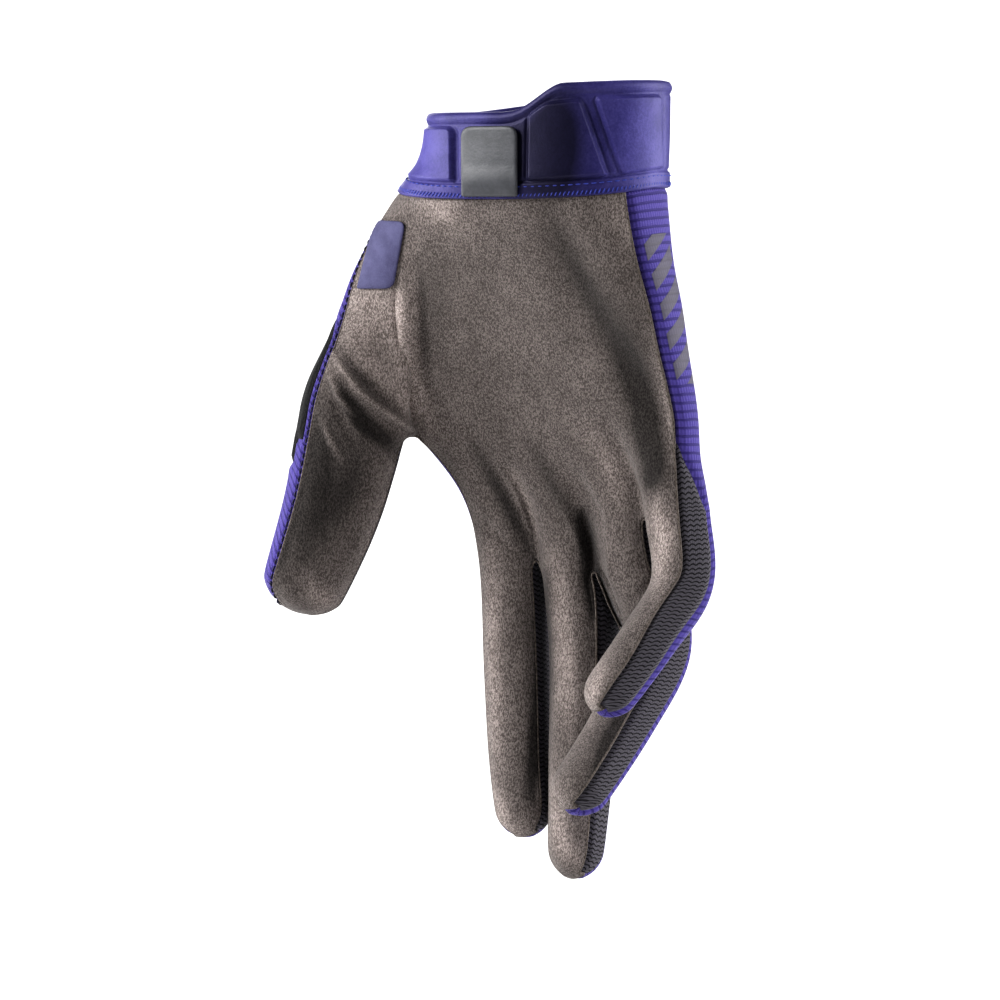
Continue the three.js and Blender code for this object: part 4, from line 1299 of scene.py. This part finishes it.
# A line on the cloth at a fixed distance in from a panel's edge, with its normals and inward sides.
def seamLine(name, inset, lift, spacing):
    panel = panelNames.index(name)
    polygons = [fullFaces[i] for i, p in enumerate(fullPanels) if p == panel]
    lines = []
    for loop in rimLoops(polygons):
        points = fullPoints[loop]
        normals = fullNormals[loop]
        for turn in range(6):  # evens out the steps of the mesh
            points = (np.roll(points, 1, axis=0) + 2 * points + np.roll(points, -1, axis=0)) / 4
        run = np.roll(points, -1, axis=0) - np.roll(points, 1, axis=0)
        inward = evened(np.cross(normals, evened(run)))
        line = points + inward * inset + normals * lift
        place = placesOn(line)
        count = max(8, int(place[-1] / spacing))
        at = np.arange(count) * place[-1] / count
        lines.append((readAt(at, place, line), evened(readAt(at, place, normals)),
                      readAt(at, place, inward)))
    return lines


# A closed roll of cloth along a line, wider than it is tall.
def rollMesh(lines, wide, tall, sides=8):
    points, polygons = [], []
    for line, normals, inward in lines:
        start, count = len(points), len(line)
        for spot, normal, side in zip(line, normals, inward):
            for k in range(sides):
                angle = 2 * math.pi * k / sides
                points.append(spot + side * wide * math.cos(angle) + normal * tall * math.sin(angle))
        polygons += bandFaces([(i, (i + 1) % count) for i in range(count)], sides, start)
    return points, polygons


# Short round stitches: each from one point to the next, sunk at both ends.
def stitchMesh(ends, thick, sides=6):
    points, polygons = [], []
    profile = [(0.0, 0.25), (0.12, 0.75), (0.35, 1.0), (0.65, 1.0), (0.88, 0.75), (1.0, 0.25)]
    for a, b, normal in ends:
        run = unit(b - a)
        side = unit(np.cross(run, normal))
        up = np.cross(side, run)
        start = len(points)
        for share, size in profile:
            bow = 0.8 * thick * (math.sin(math.pi * share) - 0.6)  # the ends dip into the cloth
            for k in range(sides):
                angle = 2 * math.pi * k / sides
                points.append(mix(a, b, share) + up * (bow + thick * size * math.sin(angle))
                              + side * thick * size * math.cos(angle))
        polygons += bandFaces([(r, r + 1) for r in range(len(profile) - 1)], sides, start)
        polygons.append([start + k for k in range(sides)])
        polygons.append([start + (len(profile) - 1) * sides + k for k in reversed(range(sides))])
    return points, polygons


def stitchesAlong(lines, length, gap, keep=lambda spot, normal: True):
    ends = []
    for line, normals, inward in lines:
        place = placesOn(line)
        pitch = place[-1] / max(1, int(place[-1] / (length + gap)))
        for at in np.arange(0, place[-1] - pitch / 2, pitch):
            a, b = readAt(at, place, line), readAt(at + length, place, line)
            normal = readAt(at, place, normals)
            if keep(a, normal):
                ends.append((a, b, normal))
    return ends


seams = dict(lipInset=0.5, lipWide=0.32, lipTall=0.28, threadInset=-0.2, threadLift=0.25,
             thumbStitch=1.75, thumbGap=0.45, thumbThread=0.3, bandStitch=1.5, bandGap=0.7,
             bandRowUp=3.2, slantPitch=1.25, slantRun=0.75, slantUp=1.5, cuffThread=0.2)
# The thumb's outer side in the picture: from and to which level, and a leaning line along it.
thumbSide = dict(top=-37, low=-141, across=-44, level=-31, lean=0.309, reach=5, facing=-0.2)
lipLines = seamLine("palm_panel", seams["lipInset"], 0.0, 0.9)
points, polygons = rollMesh(lipLines, seams["lipWide"], seams["lipTall"])
trims = {"palm_edge_roll": addPiece("palm_edge_roll", points, polygons)}
print("edge roll", len(polygons))
threadLines = seamLine("palm_panel", seams["threadInset"], seams["threadLift"], 0.5)


def onThumbSide(spot, normal):
    across = spot @ viewSide
    contour = thumbSide["across"] + (spot[2] - thumbSide["level"]) * thumbSide["lean"]
    if not thumbSide["low"] < spot[2] < thumbSide["top"]:
        return False
    return across < contour + thumbSide["reach"] and normal @ viewFront > thumbSide["facing"]


thumbEnds = stitchesAlong(threadLines, seams["thumbStitch"], seams["thumbGap"], onThumbSide)
points, polygons = stitchMesh(thumbEnds, seams["thumbThread"])
trims["thumb_side_stitches"] = addPiece("thumb_side_stitches", points, polygons)


# Stitches round the cuff's lower band: a straight row, and slanted ones over the edge.
def cuffStitches():
    angles = cuffAngles()

    def circle(up, lift):
        ring = np.array([palmPoint(wristDown(a) - up, a) for a in angles])
        above = np.array([palmPoint(wristDown(a) - up - 1, a) for a in angles])
        run = np.roll(ring, -1, axis=0) - np.roll(ring, 1, axis=0)
        normal = outwardNormals(run, above - ring, ring)
        return ring + normal * lift, normal

    face = cuff["proud"] + cuff["bandTall"]
    band, normals = circle(seams["bandRowUp"], face)
    ends = stitchesAlong([(band, normals, normals)], seams["bandStitch"], seams["bandGap"])
    low, lowNormals = circle(0.1, cuff["proud"] + 0.2)
    high = circle(seams["slantUp"], face + 0.05)[0]
    place = placesOn(low)
    for at in np.arange(0, place[-1] - 1.2, seams["slantPitch"]):
        ends.append((readAt(at, place, low), readAt(at + seams["slantRun"], place, high),
                     readAt(at, place, lowNormals)))
    return ends


points, polygons = stitchMesh(cuffStitches(), seams["cuffThread"])
trims["cuff_stitches"] = addPiece("cuff_stitches", points, polygons)
print("stitches made")


# Shader maths: a wrapped socket makes Math nodes from plain expressions.
class Shade:
    def __init__(self, graph, socket):
        self.graph = graph
        self.socket = socket

    def __add__(self, other):
        return self.graph.maths("ADD", self, other)

    def __radd__(self, other):
        return self.graph.maths("ADD", other, self)

    def __sub__(self, other):
        return self.graph.maths("SUBTRACT", self, other)

    def __rsub__(self, other):
        return self.graph.maths("SUBTRACT", other, self)

    def __mul__(self, other):
        return self.graph.maths("MULTIPLY", self, other)

    def __rmul__(self, other):
        return self.graph.maths("MULTIPLY", other, self)

    def __truediv__(self, other):
        return self.graph.maths("DIVIDE", self, other)

    def __rtruediv__(self, other):
        return self.graph.maths("DIVIDE", other, self)


class Graph:
    def __init__(self, name):
        self.material = bpy.data.materials.new(name)
        self.material.use_nodes = True
        self.nodes = self.material.node_tree.nodes
        self.links = self.material.node_tree.links
        self.nodes.clear()

    # Any node: its type, its settings, then the values or links of its sockets.
    def node(self, kind, settings=None, sockets=None, out=0):
        made = self.nodes.new(kind)
        for name, value in (settings or {}).items():
            if name == "stops":
                for i, (place, colour) in enumerate(value):
                    stop = made.color_ramp.elements[i] if i < 2 else made.color_ramp.elements.new(place)
                    stop.position = place
                    stop.color = (*colour, 1)
            else:
                setattr(made, name, value)
        for name, value in (sockets or {}).items():
            if isinstance(value, Shade):
                self.links.new(value.socket, made.inputs[name])
            else:
                made.inputs[name].default_value = value
        return Shade(self, made.outputs[out]) if len(made.outputs) else made

    def maths(self, operation, *values):
        return self.node("ShaderNodeMath", {"operation": operation}, dict(enumerate(values)))

    def sine(self, value):
        return self.maths("SINE", value)

    def part(self, value):
        return self.maths("FRACT", value)

    def ramp(self, value, low, high):
        return self.node("ShaderNodeMapRange", {"interpolation_type": "SMOOTHSTEP"},
                         {"Value": value, "From Min": low, "From Max": high})

    def noise(self, place, scale, detail=3.0, rough=0.55):
        return self.node("ShaderNodeTexNoise", {}, {"Vector": place, "Scale": scale, "Detail": detail,
                                                    "Roughness": rough})

    def blend(self, share, first, second):
        made = self.nodes.new("ShaderNodeMix")
        made.data_type = "RGBA"
        for i, value in ((0, share), (6, first), (7, second)):
            if isinstance(value, Shade):
                self.links.new(value.socket, made.inputs[i])
            else:
                made.inputs[i].default_value = value if i == 0 else (*value, 1)
        return Shade(self, made.outputs[2])

    def scaled(self, place, by):
        return self.node("ShaderNodeVectorMath", {"operation": "MULTIPLY"}, {0: place, 1: by})

    # Between the dark and the light tone of a look.
    def tones(self, share, look):
        return self.blend(share, linear(*look["dark"]), linear(*look["light"]))

    # Adds some of a look's dark tone in soft clouds.
    def clouded(self, colour, look, cloud, low, most):
        return self.blend(self.ramp(cloud, low, 0.7) * most, colour, linear(*look["dark"]))

    def wave(self, value, period):
        return 0.5 + 0.5 * self.sine(value * (2 * math.pi / period))

    # A band from one value to another, with edges of a given softness.
    def between(self, value, low, high, soft):
        return self.ramp(value, low, low + soft) * (1 - self.ramp(value, high, high + soft))

    # The place on the cloth in millimetres: round the hand, and down it.
    def cloth(self):
        uv = self.node("ShaderNodeUVMap", {"uv_map": "cloth"})
        across = self.node("ShaderNodeSeparateXYZ", {}, {"Vector": uv}, 0)
        down = self.node("ShaderNodeSeparateXYZ", {}, {"Vector": uv}, 1)
        return across, down

    # Darkens a colour by painted shade: the share taken toward its deep tone is rest plus what the piece
    # stores, so a value below zero there paints light.
    def withPaintedShade(self, colour, look, uneven=0.0):
        nap = self.node("ShaderNodeAttribute", {"attribute_name": "nap"}, {}, 2)
        share = self.maths("MINIMUM", self.maths("MAXIMUM", nap + look["rest"] + uneven, 0.0), 0.95)
        return self.blend(share, colour, self.scaled(colour, (look["deep"],) * 3))

    # The place in the frame, in millimetres.
    def place(self):
        spot = self.node("ShaderNodeTexCoord", {}, {}, 3)
        return self.scaled(spot, (1000, 1000, 1000))

    def finish(self, colour, roughness, bumps=(), normalStrength=1.0, **fixed):
        sockets = {"Base Color": colour if isinstance(colour, Shade) else (*colour, 1),
                   "Roughness": roughness}
        normal = None
        for height, distance in bumps:
            inputs = {"Height": height, "Strength": normalStrength, "Distance": distance / 1000}
            if normal is not None:
                inputs["Normal"] = normal
            normal = self.node("ShaderNodeBump", {}, inputs)
        if normal is not None:
            sockets["Normal"] = normal
        sockets.update({name.replace("_", " "): value for name, value in fixed.items()})
        surface = self.node("ShaderNodeBsdfPrincipled", {}, sockets)
        self.node("ShaderNodeOutputMaterial", {}, {"Surface": surface})
        return self.material


def linear(r, g, b):
    return tuple((v / 255 / 12.92) if v / 255 <= 0.04045 else ((v / 255 + 0.055) / 1.055) ** 2.4
                 for v in (r, g, b))


# Napped synthetic suede: short upright flecks, a brushed nap and soft mottling, with painted shade and
# painted light laid over it.
suede = dict(base=(146, 135, 131), dark=(82, 75, 72), light=(202, 190, 185), fleck=2.7, mottle=0.07,
             roughness=0.95, napHeight=0.16, deep=0.08, rest=0.62)


def suedeMaterial(name, look):
    g = Graph(name)
    place = g.place()
    mottle = g.noise(place, look["mottle"], 3)
    patchy = g.noise(g.scaled(place, (1, 1, 0.6)), look["mottle"] * 4, 3)
    fleck = g.noise(g.scaled(place, (1, 1, 0.5)), look["fleck"], 2, 0.6)
    fine = g.noise(g.scaled(place, (1, 1, 0.6)), look["fleck"] * 2.6, 1, 0.6)
    # The nap here is the suede's own grain of flecks.
    nap = fleck * 0.65 + fine * 0.35
    tone = g.ramp(nap + (patchy - 0.5) * 0.12, 0.41, 0.61)
    colour = g.blend(0.32, g.tones(tone, look), linear(*look["base"]))
    colour = g.clouded(colour, look, mottle, 0.35, 0.22)
    # Painted shade and painted light from the strokes stored on the palm, with a little random unevenness.
    colour = g.withPaintedShade(colour, look, (patchy - 0.5) * 0.1)
    return g.finish(colour, look["roughness"] - 0.06 * tone, [(nap, look["napHeight"]), (patchy, 0.35)],
                    Sheen_Weight=0.2, Sheen_Roughness=0.5, Specular_IOR_Level=0.2)


# Waffle knit: thin dark rows across and fine ribs down, with a field of plain slanted bars.
knit = dict(light=(84, 73, 144), dark=(54, 45, 106), row=2.4, rib=1.05, roughness=0.78, height=0.3)
bars = dict(tone=(82, 79, 86), near=2.8, far=15.5, top=13.0, low=56.0, pitch=8.6, share=0.56, slant=0.62)


def knitMaterial(name, look):
    g = Graph(name)
    across, down = g.cloth()
    place = g.place()
    level = down + g.noise(place, 0.12, 2) * 0.7
    rows = g.wave(level, look["row"])
    ribs = g.wave(across + g.noise(place, 0.3, 2) * 0.5, look["rib"])
    half = g.wave(level, look["row"] / 2)
    yarn = g.noise(place, 2.6, 2, 0.6)
    lift = g.ramp(rows, 0.02, 0.4) * (0.62 + 0.38 * ribs) * (0.88 + 0.12 * half)
    colour = g.tones(g.ramp(lift * 0.7 + yarn * 0.35, 0.1, 0.95), look)
    colour = g.clouded(colour, look, g.noise(place, 0.07, 3), 0.4, 0.2)
    step = g.part((down + across * bars["slant"]) / bars["pitch"])
    stripe = g.between(step, 0.0, bars["share"], 0.04)
    field = g.between(across, bars["near"], bars["far"], 0.3)
    field = field * g.between(down, bars["top"], bars["low"], 0.3)
    mask = stripe * field
    colour = g.blend(mask * 0.9, colour, linear(*bars["tone"]))
    height = (lift * 0.8 + yarn * 0.2) * (1 - mask * 0.6) + mask * 0.55
    return g.finish(colour, look["roughness"] - 0.2 * mask, [(height, look["height"])], Sheen_Weight=0.15,
                    Sheen_Roughness=0.4, Specular_IOR_Level=0.3)


# Stretch mesh between the fingers: zigzag rows across the finger.
mesh = dict(light=(84, 81, 88), dark=(30, 28, 33), row=1.35, wave=2.0, swing=0.5, stripe=0.65,
            roughness=0.85, height=0.34)


def meshMaterial(name, look):
    g = Graph(name)
    across, down = g.cloth()
    place = g.place()
    swing = g.maths("ABSOLUTE", g.sine(across * (math.pi / look["wave"]))) * look["swing"]
    rows = g.wave(down + swing + g.noise(place, 0.15, 2) * 0.6, look["row"])
    yarn = g.noise(place, 3.0, 2, 0.6)
    lift = g.ramp(rows, 0.02, 0.5) * (0.8 + 0.2 * g.wave(across, look["stripe"]))
    colour = g.tones(g.ramp(lift * 0.8 + yarn * 0.25, 0.1, 0.95), look)
    return g.finish(colour, look["roughness"], [(lift * 0.8 + yarn * 0.2, look["height"])],
                    Specular_IOR_Level=0.3, Sheen_Weight=0.1)


# The cuff: smooth coated foam cloth, with painted shade and painted light laid over it.
foam = dict(light=(87, 82, 144), dark=(64, 60, 118), roughness=0.42, grain=1.4, deep=0.06, rest=0.34)


def foamMaterial(name, look):
    g = Graph(name)
    place = g.place()
    cloud = g.noise(place, 0.1, 3)
    grain = g.noise(place, look["grain"], 3, 0.6)
    weave = g.noise(place, 4.2, 1)
    # Painted shade and painted light from the strokes stored on the cuff.
    colour = g.withPaintedShade(g.tones(g.ramp(cloud * 0.6 + grain * 0.4, 0.35, 0.65), look), look)
    return g.finish(colour, look["roughness"] + 0.1 * grain, [(grain * 0.7 + weave * 0.3, 0.08)],
                    Sheen_Weight=0.1, Sheen_Roughness=0.4, Sheen_Tint=(0.6, 0.56, 1, 1),
                    Specular_IOR_Level=0.34, Specular_Tint=(0.75, 0.72, 1, 1))


rubber = dict(light=(78, 79, 83), dark=(66, 67, 71), roughness=0.34)


def rubberMaterial(name, look, grain=1.2, tall=0.05):
    g = Graph(name)
    place = g.place()
    cloud = g.noise(place, 0.25, 3)
    fine = g.noise(place, grain, 3, 0.6)
    colour = g.tones(g.ramp(cloud * 0.6 + fine * 0.4, 0.35, 0.65), look)
    return g.finish(colour, look["roughness"] + 0.12 * fine, [(fine, tall)], Specular_IOR_Level=0.4)


patchLook = dict(light=(86, 85, 117), dark=(73, 71, 102), roughness=0.7)
wipe = dict(light=(20, 20, 23), dark=(6, 6, 8), roughness=0.95)


def wipeMaterial(name, look):
    g = Graph(name)
    place = g.place()
    loops = g.node("ShaderNodeTexVoronoi", {}, {"Vector": place, "Scale": 1.1})
    fuzz = g.noise(place, 2.4, 3, 0.7)
    colour = g.tones(1 - g.ramp(loops * 0.7 + fuzz * 0.4, 0.2, 0.8), look)
    return g.finish(colour, look["roughness"], [(fuzz * 0.5 - loops * 0.5, 0.35)], Sheen_Weight=0.05)


def dress(obj, material):
    obj.data.materials.clear()
    obj.data.materials.append(material)


meshCloth = meshMaterial("stretch_mesh", mesh)
finishes = {
    "palm_panel": suedeMaterial("suede", suede),
    "back_panel": knitMaterial("waffle_knit", knit),
    "cuff": foamMaterial("cuff_foam", foam),
    "cuff_tab": rubberMaterial("tab_rubber", rubber),
    "thumb_patch": rubberMaterial("patch_rubber", patchLook, 2.4, 0.12),
    "thumb_wipe": wipeMaterial("wiping_cloth", wipe),
}
for name, piece in pieces.items():
    dress(piece, finishes.get(name, meshCloth))
threads = dict(dark=(26, 23, 52), blue=(66, 76, 160))


def threadMaterial(name, tone):
    g = Graph(name)
    place = g.place()
    twist = 0.5 + 0.5 * g.sine(g.noise(place, 1.6, 2) * 18)
    colour = g.blend(twist * 0.35, linear(*tone), tuple(v * 0.5 for v in linear(*tone)))
    return g.finish(colour, 0.6, [(twist, 0.06)], Specular_IOR_Level=0.35)


rollLook = dict(suede, base=(146, 134, 126), dark=(92, 83, 78), light=(190, 178, 169))
dress(trims["palm_edge_roll"], suedeMaterial("suede_edge", rollLook))
dress(trims["thumb_side_stitches"], threadMaterial("dark_thread", threads["dark"]))
dress(trims["cuff_stitches"], threadMaterial("blue_thread", threads["blue"]))
slots = {"palm_panel": "suede", "back_panel": "knit", "cuff": "cuff_skin", "cuff_tab": "tab_rubber",
         "thumb_patch": "patch_rubber", "thumb_wipe": "wipe_cloth"}
print("materials done")

for name, piece in pieces.items():
    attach(piece, "root")
    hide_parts(name)
    slots.get(name, "mesh")
for name, piece in trims.items():
    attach(piece, "root")


# Plain pale studio: a round floor below the glove, soft boxes at the sides, white all round.
studio = dict(reach=0.8, drop=0.06, paper=0.9, ambient=0.05, white=1.0, frameWide=0.28,
              lens=1000, sensor=36)
aim = Vector((-0.0116, -0.0067, -0.112))  # the middle of the picture
# Each light: name, how far to the side, the front and up from the aim, its size and its power.
lights = [
    ("key_box", -0.85, 0.36, 0.5, (0.3, 0.5), 8.6),
    ("left_edge", -0.8, -0.15, 0.0, (0.4, 1.0), 8),
    ("right_soft", 0.85, 0.22, 0.3, (0.3, 0.8), 4.5),
    ("right_edge", 0.8, -0.3, 0.1, (0.4, 1.0), 6),
    ("front_fill", 0.75, 0.8, 0.6, (0.4, 0.4), 2.6),
    ("back_fill", -0.3, -1.6, 0.5, (1.0, 1.0), 7),
]


def addStudio():
    low = boundsAtStart[0][2] - studio["drop"]
    sides = 64
    turns = np.arange(sides) * 2 * math.pi / sides
    points = [(studio["reach"] * math.cos(a), studio["reach"] * math.sin(a), low) for a in turns]
    floor = addObject("studio_floor", makeMesh("studio_floor", points, [list(range(sides))]))
    g = Graph("studio_paper")
    place = g.place()
    dress(floor, g.finish((studio["paper"],) * 3, 0.85 + 0.05 * g.noise(place, 0.02, 2)))
    floor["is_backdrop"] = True


# The world looks white from every side, and adds only a little light.
def addWorld():
    world = bpy.data.worlds.new("studio")
    world.use_nodes = True
    nodes, links = world.node_tree.nodes, world.node_tree.links
    background = nodes["Background"]
    background.inputs["Color"].default_value = (1, 1, 1, 1)
    seen = nodes.new("ShaderNodeLightPath")
    strength = nodes.new("ShaderNodeMapRange")
    strength.inputs["To Min"].default_value = studio["ambient"]
    strength.inputs["To Max"].default_value = studio["white"]
    links.new(seen.outputs["Is Camera Ray"], strength.inputs["Value"])
    links.new(strength.outputs["Result"], background.inputs["Strength"])
    bpy.context.scene.world = world


def addLight(name, side, front, up, size, power):
    data = bpy.data.lights.new(name, "AREA")
    data.shape = "RECTANGLE"
    data.size, data.size_y = size
    data.energy = power
    light = addObject(name, data)
    light.location = aim + Vector(viewSide) * side + Vector(viewFront) * front + Vector((0, 0, up))
    light.rotation_euler = (aim - light.location).to_track_quat("-Z", "Y").to_euler()


def addCamera():
    data = bpy.data.cameras.new("camera")
    data.lens = studio["lens"]
    data.sensor_width = studio["sensor"]
    data.clip_end = 20
    camera = addObject("camera", data)
    front = Vector(viewFront)
    camera.location = aim + front * (studio["frameWide"] * studio["lens"] / studio["sensor"])
    camera.rotation_euler = (-front).to_track_quat("-Z", "Y").to_euler()
    bpy.context.scene.camera = camera


addStudio()
for row in lights:
    addLight(*row)
addWorld()
bpy.context.scene.view_settings.view_transform = "Standard"
bpy.context.scene.view_settings.look = "High Contrast"
addCamera()
print("studio done")


def plain(box):
    return [[float(v) for v in corner] for corner in box]


{"cad": plain(boundsAtStart), "visual": plain(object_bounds())}
